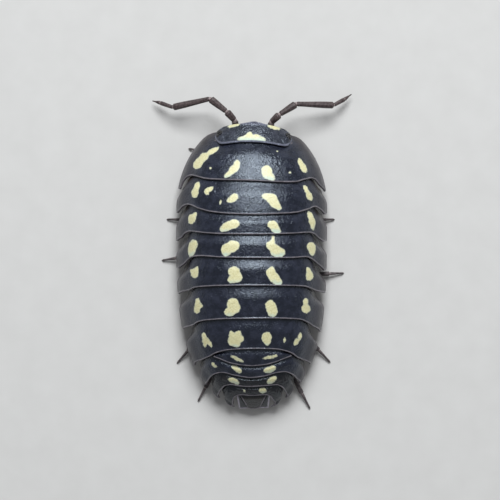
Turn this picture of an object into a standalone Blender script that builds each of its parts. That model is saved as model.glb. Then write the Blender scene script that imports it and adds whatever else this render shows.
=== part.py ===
"""A pill woodlouse, life size, standing on its fourteen feet.

Lengths are in metres, +Z is up and +Y is the way the animal faces. The back is one smooth arched form, the
envelope, and every plate of the armour is a stretch of it: a shell that starts a step below the rim of the
plate in front and rises to the envelope before its own rim, so that the plates lie like roof tiles.
"""

import math
from dataclasses import dataclass

import bmesh
import bpy
from mathutils import Euler, Vector

MM = 0.001

# Driving dimensions of the whole animal
BODY_LENGTH = 18.0 * MM
BODY_WIDTH = 9.44 * MM
BACK_HEIGHT = 4.75 * MM
SKIRT_HEIGHT = 0.85 * MM
BELLY_HEIGHT = 1.75 * MM

# The plates: the gap between pieces, the thickness of their shells, and how deep a rim's edge stands
SEAM = 0.30 * MM
SHELL = 0.68 * MM
SKIRT_SHELL = 0.50 * MM
TAIL_SHELL = 0.46 * MM
TAIL_CHANGE = 1.5 * MM
RIM = 0.08 * MM
STEP = RIM + SEAM
RISE_RUN = 0.4 * MM

# Where the body is widest and highest, and how far it runs on from there to nose and tail
WIDEST_AT = 0.2 * BODY_LENGTH
WIDE_NOSE_REACH = 0.325 * BODY_LENGTH
WIDE_TAIL_REACH = 0.71 * BODY_LENGTH
HIGHEST_AT = 0.033 * BODY_LENGTH
HIGH_NOSE_REACH = 0.605 * BODY_LENGTH
HIGH_TAIL_REACH = 0.555 * BODY_LENGTH

# How full those curves are: the power of the run towards nose and tail, and of the curve itself
WIDE_NOSE_POWER = 2.1
WIDE_TAIL_POWER = 3.8
WIDE_FULLNESS = 0.55
HIGH_NOSE_POWER = 2.15
HIGH_TAIL_POWER = 2.6
HIGH_FULLNESS = 1.0 / 1.3

# A shallow groove along each flank, above the side plates
WAIST_DEPTH = 0.07 * MM
WAIST_ANGLE = 60.0
WAIST_WIDTH = 9.0

# The body curves a little to its right in front and behind, as a walking animal's does
BEND_AT = 1.0 * MM
FRONT_BEND = 2.7
REAR_BEND = 1.5

# The share of the length that each part shows from above, from the brow to the tail's tip
SHOWN = {
    "head": 0.0705,
    "pereonite_1": 0.1355,
    "pereonite_2": 0.1172,
    "pereonite_3": 0.0673,
    "pereonite_4": 0.0826,
    "pereonite_5": 0.0950,
    "pereonite_6": 0.1158,
    "pereonite_7": 0.1030,
    "pleonite_2": 0.0600,
    "pleonite_3": 0.0406,
    "pleonite_4": 0.0305,
    "pleonite_5": 0.0291,
    "telson": 0.0529,
}

FACE_COUNT_ACROSS = 24

# Across a plate's outside from front to rear: the share of the way, and how much of the step is left
SHELL_ROWS = ((0.0, 1.0), (0.16, 0.55), (0.36, 0.15), (0.6, 0.0), (1.0, 0.0))


@dataclass
class Rim:
    """The rear rim of a plate, seen from above, as distances from its middle and angles of the arch.

    bow runs the whole rim forwards at the sides, notch is a forward hump where the side plate begins, and
    sweep is how far the side plate's corner reaches back. A sweep with no power runs in an S-curve.
    """

    bow: float = 0.0
    notch: float = 0.0
    notch_at: float = 55.0
    notch_width: float = 12.0
    sweep: float = 0.0
    sweep_from: float = 50.0
    sweep_to: float = 90.0
    sweep_power: float = 0.0

    def offset(self, angle):
        side = abs(angle)
        hump = math.exp(-(((side - self.notch_at) / self.notch_width) ** 2))
        run = min(1.0, max(0.0, (side - self.sweep_from) / (self.sweep_to - self.sweep_from)))
        swept = run**self.sweep_power if self.sweep_power else smooth(run)
        return self.bow * math.sin(math.radians(side)) ** 2 + self.notch * hump - self.sweep * swept


def smooth(t):
    t = min(1.0, max(0.0, t))
    return t * t * (3.0 - 2.0 * t)


def mix(a, b, t):
    return a + (b - a) * t


RIMS = {
    "pereonite_1": Rim(notch=0.31 * MM, sweep=0.62 * MM, sweep_from=55, sweep_power=1.4),
    "pereonite_2": Rim(bow=0.78 * MM, sweep=0.56 * MM, sweep_from=60, sweep_power=1.0),
    "pereonite_3": Rim(notch=0.16 * MM, notch_at=52, notch_width=14, sweep=0.44 * MM, sweep_power=1.0),
    "pereonite_4": Rim(notch=0.06 * MM, notch_at=48, notch_width=10, sweep=0.66 * MM, sweep_power=0.85),
    "pereonite_5": Rim(sweep=0.53 * MM, sweep_from=42, sweep_power=0.75),
    "pereonite_6": Rim(sweep=0.69 * MM, sweep_from=38, sweep_power=0.9),
    "pereonite_7": Rim(sweep=1.0 * MM, sweep_from=18, sweep_power=0.9),
    "pleonite_2": Rim(bow=1.75 * MM),
    "pleonite_3": Rim(
        notch=0.36 * MM, notch_at=36, notch_width=18, sweep=0.45 * MM, sweep_from=40, sweep_to=80
    ),
    "pleonite_4": Rim(
        notch=0.12 * MM, notch_at=27, notch_width=10, sweep=0.72 * MM, sweep_from=30, sweep_to=72
    ),
    "pleonite_5": Rim(sweep=0.75 * MM, sweep_from=15, sweep_to=68),
}

# The first plate's front: its edge behind the head, and the lobes that reach forward beside it
LOBE_FROM = 61.0
LOBE_TO = 73.0
LOBE_REACH = 1.1 * MM
LOBE_ROUNDING = 0.35 * MM
LOBE_SHELL = 0.32 * MM

# The first abdominal plate that shows is a lens that ends under the rim in front of it
LENS_END = 36.0
LENS_LEAST = 0.30 * MM
LENS_EASE = 6.0

HEAD_HALF_WIDTH = 2.34 * MM
EYE_SIZE = Vector((0.20, 0.27, 0.19)) * MM
EYE_SEAM = 0.13 * MM

FOOT_RADIUS = 0.12 * MM
TUBE_SIDES = 8


def half_width(y):
    """Half of the body's width at the lower edge of its sides."""
    if y > WIDEST_AT:
        share = 1.0 - min(1.0, (y - WIDEST_AT) / WIDE_NOSE_REACH) ** WIDE_NOSE_POWER
    else:
        share = 1.0 - min(1.0, (WIDEST_AT - y) / WIDE_TAIL_REACH) ** WIDE_TAIL_POWER
    return 0.5 * BODY_WIDTH * max(share, 0.0) ** WIDE_FULLNESS


def back_height(y):
    """Height of the ridge of the back above the floor."""
    if y > HIGHEST_AT:
        share = 1.0 - min(1.0, (y - HIGHEST_AT) / HIGH_NOSE_REACH) ** HIGH_NOSE_POWER
    else:
        share = 1.0 - min(1.0, (HIGHEST_AT - y) / HIGH_TAIL_REACH) ** HIGH_TAIL_POWER
    return BACK_HEIGHT * max(share, 0.0) ** HIGH_FULLNESS


def slant(profile, y):
    """How much longer than its depth a square cut through a slanting wall looks."""
    reach = 0.02 * MM
    slope = (profile(y + reach) - profile(y - reach)) / (2.0 * reach)
    return min(1.6, math.sqrt(1.0 + slope * slope))


def arch(y, angle, depth):
    """A point of the straight body: angle 0 is the ridge, 90 the right edge, depth is below the envelope."""
    turn = math.radians(angle)
    wide = half_width(y) - depth * slant(half_width, y)
    high = back_height(y) - depth * slant(back_height, y)
    waist = WAIST_DEPTH * math.exp(-(((abs(angle) - WAIST_ANGLE) / WAIST_WIDTH) ** 2))
    x = (wide - waist) * math.sin(turn)
    z = SKIRT_HEIGHT + (high - SKIRT_HEIGHT - waist) * math.cos(turn)
    return Vector((x, y, z))


def lie(point):
    """The same point on the gently curved body."""
    along = (point.y - BEND_AT) * (FRONT_BEND if point.y > BEND_AT else -REAR_BEND)
    aside = abs(along * (point.y - BEND_AT))
    turn = -2.0 * along
    if point.y < BEND_AT:
        turn = -turn
    return Vector((
        aside + point.x * math.cos(turn),
        point.y + point.x * math.sin(turn),
        point.z,
    ))


def rim_places():
    """Where the middle of each part's rear rim lies along the body."""
    places = {}
    y = 0.5 * BODY_LENGTH
    for name, share in SHOWN.items():
        y -= share * BODY_LENGTH
        places[name] = y
    return places


PLACES = rim_places()


def material(name, colour, roughness, metallic=0.0):
    made = bpy.data.materials.new(name)
    made.use_nodes = True
    shader = made.node_tree.nodes["Principled BSDF"]
    shader.inputs["Base Color"].default_value = (*colour, 1.0)
    shader.inputs["Roughness"].default_value = roughness
    shader.inputs["Metallic"].default_value = metallic
    return made


def face_outwards(mesh_data):
    bmesh.ops.recalc_face_normals(mesh_data, faces=mesh_data.faces)
    if mesh_data.calc_volume(signed=True) < 0.0:
        bmesh.ops.reverse_faces(mesh_data, faces=mesh_data.faces)


def object_from(name, mesh_data, finish, root):
    """A named object with one closed mesh, its faces pointing out, under the root empty."""
    bmesh.ops.remove_doubles(mesh_data, verts=mesh_data.verts, dist=0.0005 * MM)
    face_outwards(mesh_data)
    mesh = bpy.data.meshes.new(name)
    mesh_data.to_mesh(mesh)
    mesh_data.free()
    mesh.materials.append(finish)
    mesh.shade_smooth()
    mesh.set_sharp_from_angle(angle=math.radians(40))
    made = bpy.data.objects.new(name, mesh)
    bpy.context.collection.objects.link(made)
    made.parent = root
    return made


def loft(loops):
    """A closed mesh through loops of the same count, with a flat face on each end."""
    made = bmesh.new()
    rows = [[made.verts.new(point) for point in loop] for loop in loops]
    count = len(rows[0])
    for near, far in zip(rows, rows[1:]):
        for i in range(count):
            j = (i + 1) % count
            made.faces.new((near[i], near[j], far[j], far[i]))
    ends = [made.faces.new(rows[0]), made.faces.new(list(reversed(rows[-1])))]
    bmesh.ops.triangulate(made, faces=ends, ngon_method="EAR_CLIP")
    return made


def shell_at(y, angle):
    """The shell's thickness, which eases off down the sides and towards the tail."""
    tail = smooth((PLACES["pereonite_7"] - y) / TAIL_CHANGE)
    crown = mix(SHELL, TAIL_SHELL, tail)
    skirt = mix(SKIRT_SHELL, 0.85 * TAIL_SHELL, tail)
    return mix(crown, skirt, smooth((abs(angle) - 50.0) / 35.0))


def across(end=90.0, count=FACE_COUNT_ACROSS):
    return [mix(-end, end, i / count) for i in range(count + 1)]


def rear_rim(name, angle):
    """Where a plate's rear rim lies along the body, at an angle of the arch."""
    if name == "pleonite_2":
        lens = PLACES[name] + RIMS[name].offset(angle)
        ease = smooth((LENS_END + LENS_EASE - abs(angle)) / LENS_EASE)
        return min(lens, rear_rim("pereonite_7", angle) - LENS_LEAST * ease)
    return PLACES[name] + RIMS[name].offset(angle)


def plate_outline(front, rear, angle):
    """The closed section of one plate, as places along the body and depths, from its front over its rim."""
    near = shell_at(front, angle)
    far = shell_at(rear, angle)
    inner_rear = rear + far - RIM
    inner_front = front + near - STEP
    risen = min(1.0, (front - rear) / RISE_RUN)
    outline = [(mix(front, rear, share), STEP * mix(1.0, depth, risen)) for share, depth in SHELL_ROWS]
    outline.append((rear, RIM + STEP * (1.0 - risen)))
    outline.append((inner_rear, far))
    outline.append((mix(inner_rear, inner_front, 0.5), mix(far, near, 0.5)))
    outline.append((inner_front, near))
    return outline


def plate(name, before, finish, root, end=90.0, count=FACE_COUNT_ACROSS):
    loops = []
    for angle in across(end, count):
        outline = plate_outline(rear_rim(before, angle), rear_rim(name, angle), angle)
        loops.append([lie(arch(y, angle, depth)) for y, depth in outline])
    return object_from(name, loft(loops), finish, root)


def first_plate(finish, root):
    """The plate behind the head. It starts under the head's rear edge, and its lobes hold the head."""
    loops = []
    for angle in across():
        side = abs(angle)
        lobe = smooth((side - LOBE_FROM) / (LOBE_TO - LOBE_FROM))
        rounding = LOBE_ROUNDING * max(0.0, (side - LOBE_TO) / (90.0 - LOBE_TO)) ** 2
        edge = head_rear(half_width(PLACES["head"]) * math.sin(math.radians(angle)))
        front = edge + LOBE_REACH * lobe - rounding
        rear = rear_rim("pereonite_1", angle)
        near = mix(shell_at(front, angle), LOBE_SHELL, lobe)
        far = shell_at(rear, angle)
        sunk = mix(1.0, 0.1, lobe) * STEP
        outline = [(mix(front, rear, share), sunk * depth) for share, depth in SHELL_ROWS]
        inner_rear = rear + far - RIM
        inner_front = front + mix(near - STEP, 0.0, lobe)
        outline.append((rear, RIM))
        outline += [(mix(inner_rear, inner_front, t), mix(far, near, t)) for t in (0.0, 0.25, 0.5, 0.75, 1.0)]
        loops.append([lie(arch(y, angle, depth)) for y, depth in outline])
    return object_from("pereonite_1", loft(loops), finish, root)


TELSON_TOP_HALF = 0.89 * MM
TELSON_TIP_HALF = 0.26 * MM
TELSON_SHELL = 0.36 * MM
UROPOD_TOP_HALF = 0.13 * MM
UROPOD_TIP_HALF = 0.20 * MM
UROPOD_DEPTH = 0.10 * MM
UROPOD_SHELL = 0.30 * MM
UROPOD_SET_BACK = 0.55 * MM
TAIL_CROWN = 0.14 / MM


def cover(x, y, depth=0.0):
    """The point of the envelope, or of a depth below it, straight above or below a place seen from above."""
    wide = half_width(y) - depth * slant(half_width, y)
    share = min(0.98, abs(x) / wide)
    return arch(y, math.copysign(math.degrees(math.asin(share)), x), depth)


def tail_point(x, y, depth):
    """A point on the slope of the tail's end, which is nearly flat from side to side."""
    return Vector((x, y, back_height(y) - TAIL_CROWN * x * x - depth * slant(back_height, y)))


def tail_plate(name, middle, halves, front, rear, depths, finish, root):
    """A small plate of the tail end: its middle line and half widths at its front and rear."""
    rows = 5
    columns = 6
    sunk, top, low = depths
    loops = []
    for i in range(rows + 1):
        t = i / rows
        centre = mix(middle[0], middle[1], t)
        half = mix(halves[0], halves[1], t)
        steps = [centre + mix(-half, half, k / columns) for k in range(columns + 1)]
        upper = [tail_point(x, mix(front, rear, t), mix(sunk, top, smooth(t * 2.0))) for x in steps]
        under = mix(front + low - sunk, rear + 0.05 * MM, t)
        lower = [tail_point(x, under, low) for x in reversed(steps)]
        loops.append([lie(point) for point in upper + lower])
    return object_from(name, loft(loops), finish, root)


def telson_and_uropods(finish, root):
    front = PLACES["pleonite_5"]
    rear = PLACES["telson"]
    tail_plate("telson", (0.0, 0.0), (TELSON_TOP_HALF, TELSON_TIP_HALF), front, rear,
               (STEP, 0.0, TELSON_SHELL), finish, root)
    beside = mix(TELSON_TOP_HALF, TELSON_TIP_HALF, UROPOD_SET_BACK / (front - rear))
    for side, sign in (("left", -1.0), ("right", 1.0)):
        top = sign * (beside + SEAM + UROPOD_TOP_HALF)
        tip = sign * (TELSON_TIP_HALF + SEAM + UROPOD_TIP_HALF)
        start = front - UROPOD_SET_BACK
        tail_plate(f"uropod_{side}", (top, tip), (UROPOD_TOP_HALF, UROPOD_TIP_HALF), start, rear,
                   (STEP, UROPOD_DEPTH, UROPOD_SHELL + UROPOD_DEPTH), finish, root)


CORE_DEPTH = SHELL + SEAM
TAIL_CORE_DEPTH = TAIL_SHELL + SEAM
CORE_END_ANGLE = 74.0
CORE_OVERRUN = 0.3 * MM
CORE_ARCH_COUNT = 12
CORE_LEAST = 0.12 * MM
BELLY_COUNT = 6
BELLY_SHARE = 0.96
BELLY_HOLLOW = 0.12 * MM
STERNITE_RIDGE = 0.1 * MM

# The thorax's core narrows at its two ends: where that begins, over how far, and by what share
CORE_NOSE = (5.0 * MM, 2.4 * MM, 0.16)
CORE_REAR = (-4.2 * MM, 1.2 * MM, 0.06)


def core_loop(y, belly, narrow=1.0):
    """One section of the soft body under the plates: an arch above and the belly below."""
    angles = across(CORE_END_ANGLE, CORE_ARCH_COUNT)
    depth = mix(CORE_DEPTH, TAIL_CORE_DEPTH, smooth((PLACES["pereonite_7"] - y) / TAIL_CHANGE))
    top = [arch(y, angle, depth) for angle in angles]
    for point in top:
        point.x *= narrow
        point.z = max(point.z, belly + CORE_LEAST)
    half = top[-1].x * BELLY_SHARE
    steps = [mix(half, -half, (k + 0.5) / BELLY_COUNT) for k in range(BELLY_COUNT)]
    below = [Vector((x, y, belly + BELLY_HOLLOW * (1.0 - (x / half) ** 2))) for x in steps]
    return [lie(point) for point in top + below]


def belly_height(y):
    """The belly's level, with a ridge under the middle of each thoracic plate."""
    rims = [PLACES["head"]] + [PLACES[f"pereonite_{k}"] for k in range(1, 8)]
    for front, rear in zip(rims, rims[1:]):
        if rear <= y <= front:
            return BELLY_HEIGHT - STERNITE_RIDGE * math.sin(math.pi * (front - y) / (front - rear)) ** 2
    return BELLY_HEIGHT


def thorax_underside(finish, root):
    rims = [PLACES["head"] - SEAM] + [PLACES[f"pereonite_{k}"] for k in range(1, 8)]
    places = []
    for front, rear in zip(rims, rims[1:]):
        places += [mix(front, rear, share) for share in (0.0, 0.3, 0.7)]
    places.append(rims[-1] - CORE_OVERRUN)
    loops = []
    for y in places:
        nose = CORE_NOSE[2] * smooth((y - CORE_NOSE[0]) / CORE_NOSE[1])
        rear = CORE_REAR[2] * smooth((CORE_REAR[0] - y) / CORE_REAR[1])
        loops.append(core_loop(y, belly_height(y), 1.0 - nose - rear))
    return object_from("thorax_underside", loft(loops), finish, root)


PLEOPOD_PAIRS = 4
PLEOPOD_SIZE = Vector((0.62, 0.42, 0.16)) * MM
PLEOPOD_TILT = -14.0
PLEOPOD_LIFT = 0.02 * MM
ABDOMEN_BELLY = (1.40 * MM, 0.80 * MM)
ABDOMEN_NARROW = (0.92, 0.62)


def rounded_box(size, power, segments=12, rings=8):
    """A closed ball whose bulge is squared off by power: 2 gives an ellipsoid."""
    made = bmesh.new()
    bmesh.ops.create_uvsphere(made, u_segments=segments, v_segments=rings, radius=1.0)
    for vert in made.verts:
        length = sum(abs(c) ** power for c in vert.co) ** (1.0 / power)
        vert.co = Vector([c / length * s for c, s in zip(vert.co, size)])
    return made


def piece(mesh_data, place, group, turn=(0.0, 0.0, 0.0)):
    """A closed form at its place on the body, waiting to be joined with the others of its group."""
    spin = Euler([math.radians(angle) for angle in turn]).to_matrix()
    for vert in mesh_data.verts:
        vert.co = lie(spin @ vert.co + place)
    mesh = bpy.data.meshes.new("piece")
    mesh_data.to_mesh(mesh)
    mesh_data.free()
    made = bpy.data.objects.new("piece", mesh)
    group.objects.link(made)
    return made


def joined(name, first, group, finish, root, cutters=None, solver="EXACT"):
    """One object from all the forms of a group, less any cutters, with only its largest closed surface."""
    for kind, collection in (("UNION", group), ("DIFFERENCE", cutters)):
        if collection is None:
            continue
        modifier = first.modifiers.new(kind, "BOOLEAN")
        modifier.operation = kind
        modifier.operand_type = "COLLECTION"
        modifier.collection = collection
        modifier.solver = solver
    bpy.context.view_layer.update()
    graph = bpy.context.evaluated_depsgraph_get()
    mesh = bpy.data.meshes.new_from_object(first.evaluated_get(graph), depsgraph=graph)
    made = bmesh.new()
    made.from_mesh(mesh)
    keep_largest(made)
    for collection in (group, cutters):
        if collection is None:
            continue
        for used in list(collection.objects):
            bpy.data.objects.remove(used)
        bpy.data.collections.remove(collection)
    bpy.data.objects.remove(first)
    return object_from(name, made, finish, root)


def keep_largest(mesh_data):
    left = set(mesh_data.verts)
    islands = []
    while left:
        island = [left.pop()]
        for vert in island:
            for edge in vert.link_edges:
                other = edge.other_vert(vert)
                if other in left:
                    left.remove(other)
                    island.append(other)
        islands.append(island)
    islands.sort(key=len)
    for island in islands[:-1]:
        bmesh.ops.delete(mesh_data, geom=island, context="VERTS")


def solid_object(mesh_data):
    """The form that the others of its node are joined to."""
    face_outwards(mesh_data)
    mesh = bpy.data.meshes.new("base")
    mesh_data.to_mesh(mesh)
    mesh_data.free()
    made = bpy.data.objects.new("base", mesh)
    bpy.context.collection.objects.link(made)
    return made


def abdomen_underside(finish, root):
    """The soft body under the abdomen, with its pairs of flat gill feet lying one over the other."""
    front = PLACES["pereonite_7"] - CORE_OVERRUN - SEAM
    rear = PLACES["pleonite_4"] - 0.2 * MM
    loops = []
    for share in (0.0, 0.3, 0.6, 1.0):
        y = mix(front, rear, share)
        loops.append(core_loop(y, mix(*ABDOMEN_BELLY, share), mix(*ABDOMEN_NARROW, share)))
    first = solid_object(loft(loops))
    group = bpy.data.collections.new("gill_feet")
    for pair in range(PLEOPOD_PAIRS):
        share = (pair + 0.6) / PLEOPOD_PAIRS
        size = PLEOPOD_SIZE * mix(1.0, 0.8, share)
        level = mix(*ABDOMEN_BELLY, share) + PLEOPOD_LIFT
        for sign in (-1.0, 1.0):
            place = Vector((sign * size.x * 1.04, mix(front, rear, share), level))
            piece(rounded_box(size, 2.6), place, group, (PLEOPOD_TILT, 0.0, 0.0))
    return joined("abdomen_underside", first, group, finish, root, solver="MANIFOLD")


HEAD_SECTIONS = 22
HEAD_CROWN_ROWS = (0.0, 0.35, 0.7, 0.96)

# The face below the brow, seen from the side: how far back it lies, and its share of the way to the chin
FACE_ROWS = ((0.0, 0.10), (0.02, 0.24), (0.17, 0.38), (0.19, 0.75), (0.34, 1.0))
FACE_ROOM = 1.2 * MM
HEAD_NECK = 0.72 * MM
BROW = 8.92 * MM
BROW_CURVE = 0.0665 / MM
SHIELD_HALF = 0.85 * MM
SHIELD_PEAK = 0.11 * MM
HEAD_REAR_CURVE = 0.046 / MM
HEAD_CHIN_HEIGHT = 1.15 * MM
CHEEK_FROM = 1.40 * MM
CHEEK_TO = 1.95 * MM
CHEEK_DEPTH = 0.24 * MM
EYE_ACROSS = 2.13 * MM
EYE_ALONG = 8.14 * MM


def head_rear(x):
    """The head's rear edge seen from above."""
    return PLACES["head"] - HEAD_REAR_CURVE * x * x


def brow(x):
    """The head's front edge seen from above, with the peak of the shield in its middle."""
    peak = SHIELD_PEAK * max(0.0, 1.0 - abs(x) / SHIELD_HALF)
    return BROW - BROW_CURVE * x * x + peak


def head_section(x):
    """A section through the head from rear to front: crown, brow, face and chin."""
    end = abs(x) / HEAD_HALF_WIDTH
    pinch = 0.42 * end**9
    rear = mix(head_rear(x), brow(x), pinch)
    front = mix(brow(x), head_rear(x), pinch)
    sink = 0.10 * MM * end**8
    low_side = cover(HEAD_HALF_WIDTH, EYE_ALONG).z - sink - CHEEK_DEPTH
    chin = mix(HEAD_CHIN_HEIGHT, low_side, smooth((abs(x) - CHEEK_FROM) / (CHEEK_TO - CHEEK_FROM)))
    down = Vector((0.0, 0.0, sink))
    points = [cover(x, mix(rear, front, t)) - down for t in HEAD_CROWN_ROWS]
    edge = points[-1].z
    deep = edge - chin
    room = min(1.0, (front - rear) / FACE_ROOM) * MM
    for back, share in FACE_ROWS:
        points.append(Vector((x, front - back * room, edge - share * deep)))
    points.append(Vector((x, rear + 0.50 * room, chin)))
    points.append(Vector((x, rear + 0.64 * room, max(points[0].z - HEAD_NECK, chin + 0.3 * deep))))
    points.append(Vector((x, rear, points[0].z - RIM)))
    return [lie(point) for point in points]


@dataclass
class Form:
    """A rounded form of the head: its place and half sizes in millimetres, how square it is, and its turn."""

    place: tuple
    size: tuple
    power: float
    tilt: float = 0.0
    yaw: float = 0.0

    def add(self, sign, group):
        place = Vector((sign * self.place[0], self.place[1], self.place[2])) * MM
        shape = rounded_box(Vector(self.size) * MM, self.power)
        piece(shape, place, group, (self.tilt, 0.0, sign * self.yaw))


SHIELD = Form(place=(0.0, 8.90, 2.30), size=(0.66, 0.12, 0.26), power=3.0, tilt=18.0)
LIP = Form(place=(0.0, 8.56, 1.16), size=(0.60, 0.22, 0.30), power=2.4)
ANTENNA_LOBE = Form(place=(1.34, 8.74, 2.06), size=(0.40, 0.17, 0.20), power=3.0, tilt=24.0, yaw=-14.0)
JAW = Form(place=(0.37, 8.38, 1.10), size=(0.34, 0.26, 0.17), power=2.4)


def head(finish, root):
    """The head with its frontal shield, the lobes over the antennae, the mouth and the eye sockets."""
    steps = [math.sin(mix(-0.5, 0.5, i / HEAD_SECTIONS) * math.pi) for i in range(HEAD_SECTIONS + 1)]
    first = solid_object(loft([head_section(HEAD_HALF_WIDTH * step) for step in steps]))
    group = bpy.data.collections.new("head_forms")
    for middle in (SHIELD, LIP):
        middle.add(1.0, group)
    for paired in (ANTENNA_LOBE, JAW):
        paired.add(-1.0, group)
        paired.add(1.0, group)
    cutters = bpy.data.collections.new("eye_sockets")
    room = EYE_SIZE + Vector((EYE_SEAM, EYE_SEAM, EYE_SEAM))
    for sign in (-1.0, 1.0):
        piece(rounded_box(room, 2.0, 14, 10), eye_place(sign), cutters)
    return joined("head", first, group, finish, root, cutters, solver="MANIFOLD")


def eye_place(sign):
    return cover(sign * EYE_ACROSS, EYE_ALONG, 0.02 * MM)


def eyes(finish, root):
    for side, sign in (("left", -1.0), ("right", 1.0)):
        ball = rounded_box(EYE_SIZE, 2.0, 14, 10)
        for vert in ball.verts:
            vert.co = lie(vert.co + eye_place(sign))
        object_from(f"eye_{side}", ball, finish, root)


def tube_loops(stations, first_direction=None, last_direction=None):
    """Rings of a bent limb, one for each station (point, radius), turned evenly from one to the next."""
    points = [point for point, _ in stations]
    last = len(points) - 1
    loops = []
    side = None
    for i, (point, radius) in enumerate(stations):
        ahead = (points[min(i + 1, last)] - point).normalized()
        behind = (point - points[max(i - 1, 0)]).normalized()
        direction = (ahead + behind).normalized()
        if i == 0 and first_direction:
            direction = first_direction
        if i == last and last_direction:
            direction = last_direction
        side = side or direction.orthogonal()
        side = (side - direction * side.dot(direction)).normalized()
        other = direction.cross(side)
        turns = [2.0 * math.pi * k / TUBE_SIDES for k in range(TUBE_SIDES)]
        loops.append([point + radius * (math.cos(a) * side + math.sin(a) * other) for a in turns])
    return loops


def articles(joints, radii, waist=0.8):
    """Stations along a jointed limb: each article swells from a narrow joint, and the next starts narrow."""
    stations = []
    for k, (start, end) in enumerate(zip(joints, joints[1:])):
        thin, thick = radii[k]
        stations.append((start.lerp(end, 0.04 if k else 0.0), thin * (waist if k else 1.0)))
        stations.append((start.lerp(end, 0.28), mix(thin, thick, 0.45)))
        stations.append((start.lerp(end, 0.88), thick))
    return stations


# Each antenna's joints, from its root under the brow to the tip of the lash
ANTENNAE = {
    "left": ((-1.00, 9.06, 1.54), (-1.14, 9.36, 1.70), (-1.58, 9.76, 1.88), (-2.60, 10.48, 1.86),
             (-4.94, 9.98, 1.05), (-5.76, 10.28, 0.66), (-6.26, 10.42, 0.42)),
    "right": ((1.22, 9.02, 1.54), (1.28, 9.24, 1.68), (1.80, 9.56, 1.88), (2.80, 10.18, 1.86),
              (5.18, 10.12, 1.05), (5.86, 10.50, 0.66), (6.32, 10.84, 0.42)),
}
ANTENNA_RADII = ((0.24, 0.25), (0.25, 0.28), (0.25, 0.29), (0.24, 0.28), (0.24, 0.25), (0.22, 0.10))


def antennae(finish, root):
    for side, joints in ANTENNAE.items():
        places = [Vector(joint) * MM for joint in joints]
        radii = [(thin * MM, thick * MM) for thin, thick in ANTENNA_RADII]
        stations = articles(places, radii)
        stations.append((places[-1], 0.06 * MM))
        object_from(f"antenna_{side}", loft(tube_loops(stations)), finish, root)


# Where each foot stands, as steps sideways and forwards from the middle of the body
FEET = {
    "left": (
        (-3.90, 7.40), (-4.20, 4.90), (-5.27, 2.94), (-5.58, 0.36),
        (-4.40, -1.45), (-4.66, -6.10), (-3.35, -8.50),
    ),
    "right": (
        (3.95, 6.80), (4.30, 4.50), (5.17, 2.94), (4.45, 0.55),
        (5.76, -0.46), (4.93, -6.05), (3.67, -8.97),
    ),
}
HIP_ACROSS = (2.25 * MM, 2.55 * MM, 2.70 * MM, 2.75 * MM, 2.70 * MM, 2.60 * MM, 2.30 * MM)
HIP_SHIFT = 0.34 * MM
HIP_TOP = 1.37 * MM
BASIS_HEIGHT = 1.12 * MM
BASIS_LENGTH = 1.15 * MM
KNEE_BEND = 0.32 * MM
KNEE_RADIUS = 0.24 * MM
KNEE_HEIGHT = 0.90 * MM
KNEE_TILT = 32.0
KNEE_ANGLES = (70.0, 35.0, 0.0, -35.0, -70.0)
SHIN_SHARES = (0.0, 0.28, 0.54, 0.80, 1.0)
SHIN_HEIGHTS = (0.66 * MM, 0.58 * MM, 0.47 * MM, 0.33 * MM, 0.20 * MM)
SHIN_RADII = ((0.23, 0.26), (0.22, 0.25), (0.20, 0.23), (0.17, 0.13))


def hip_place(number):
    """The middle of a thoracic plate, where its pair of legs begins."""
    before = "head" if number == 1 else f"pereonite_{number - 1}"
    return 0.5 * (PLACES[before] + PLACES[f"pereonite_{number}"])


def leg_stations(number, sign, foot):
    """The path of one leg: in under the belly from the hip, round the knee, and out to the foot."""
    middle = lie(Vector((sign * HIP_ACROSS[number - 1], hip_place(number), 0.0)))
    fore = 1.0 if foot.y < middle.y else -1.0
    out = Vector((sign, 0.0, 0.0))
    hip = middle + Vector((0.0, fore * HIP_SHIFT, HIP_TOP))
    knee = middle - BASIS_LENGTH * out + Vector((0.0, 0.0, KNEE_HEIGHT))
    tilt = math.radians(KNEE_TILT)
    turn = Vector((0.0, fore * math.cos(tilt), math.sin(tilt)))
    thigh = Vector((hip.x, hip.y, BASIS_HEIGHT))
    stations = [
        (hip, 0.18 * MM),
        (hip - 0.12 * MM * out - Vector((0.0, 0.0, 0.15 * MM)), 0.22 * MM),
        (thigh - 0.38 * MM * out, 0.25 * MM),
        (thigh - 0.62 * MM * out, 0.27 * MM),
    ]
    for angle in KNEE_ANGLES:
        around = math.radians(angle)
        bend = math.sin(around) * turn - math.cos(around) * out
        stations.append((knee + KNEE_BEND * bend, KNEE_RADIUS))
    start = knee - KNEE_BEND * turn + 0.1 * MM * out
    joints = []
    for share, height in zip(SHIN_SHARES, SHIN_HEIGHTS):
        joint = start.lerp(foot, share)
        joint.z = height
        joints.append(joint)
    radii = [(thin * MM, thick * MM) for thin, thick in SHIN_RADII]
    stations += articles(joints, radii, 0.9)
    stations.append((Vector((foot.x, foot.y, 0.0)), FOOT_RADIUS))
    return stations


def legs(finish, root):
    for side, feet in FEET.items():
        sign = -1.0 if side == "left" else 1.0
        for number, (foot_x, foot_y) in enumerate(feet, start=1):
            foot = Vector((foot_x * MM, foot_y * MM, 0.0))
            stations = leg_stations(number, sign, foot)
            down = Vector((0.0, 0.0, -1.0))
            object_from(f"leg_{side}_{number}", loft(tube_loops(stations, down, down)), finish, root)


def stand_on_origin(root):
    """Puts the middle of everything, at floor level, on the origin."""
    bpy.context.view_layer.update()
    corners = [made.matrix_world @ vert.co for made in root.children for vert in made.data.vertices]
    lowest = Vector([min(c[i] for c in corners) for i in range(3)])
    highest = Vector([max(c[i] for c in corners) for i in range(3)])
    middle = 0.5 * (lowest + highest)
    root.location = Vector((-middle.x, -middle.y, -lowest.z))
    bpy.context.view_layer.update()


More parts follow.
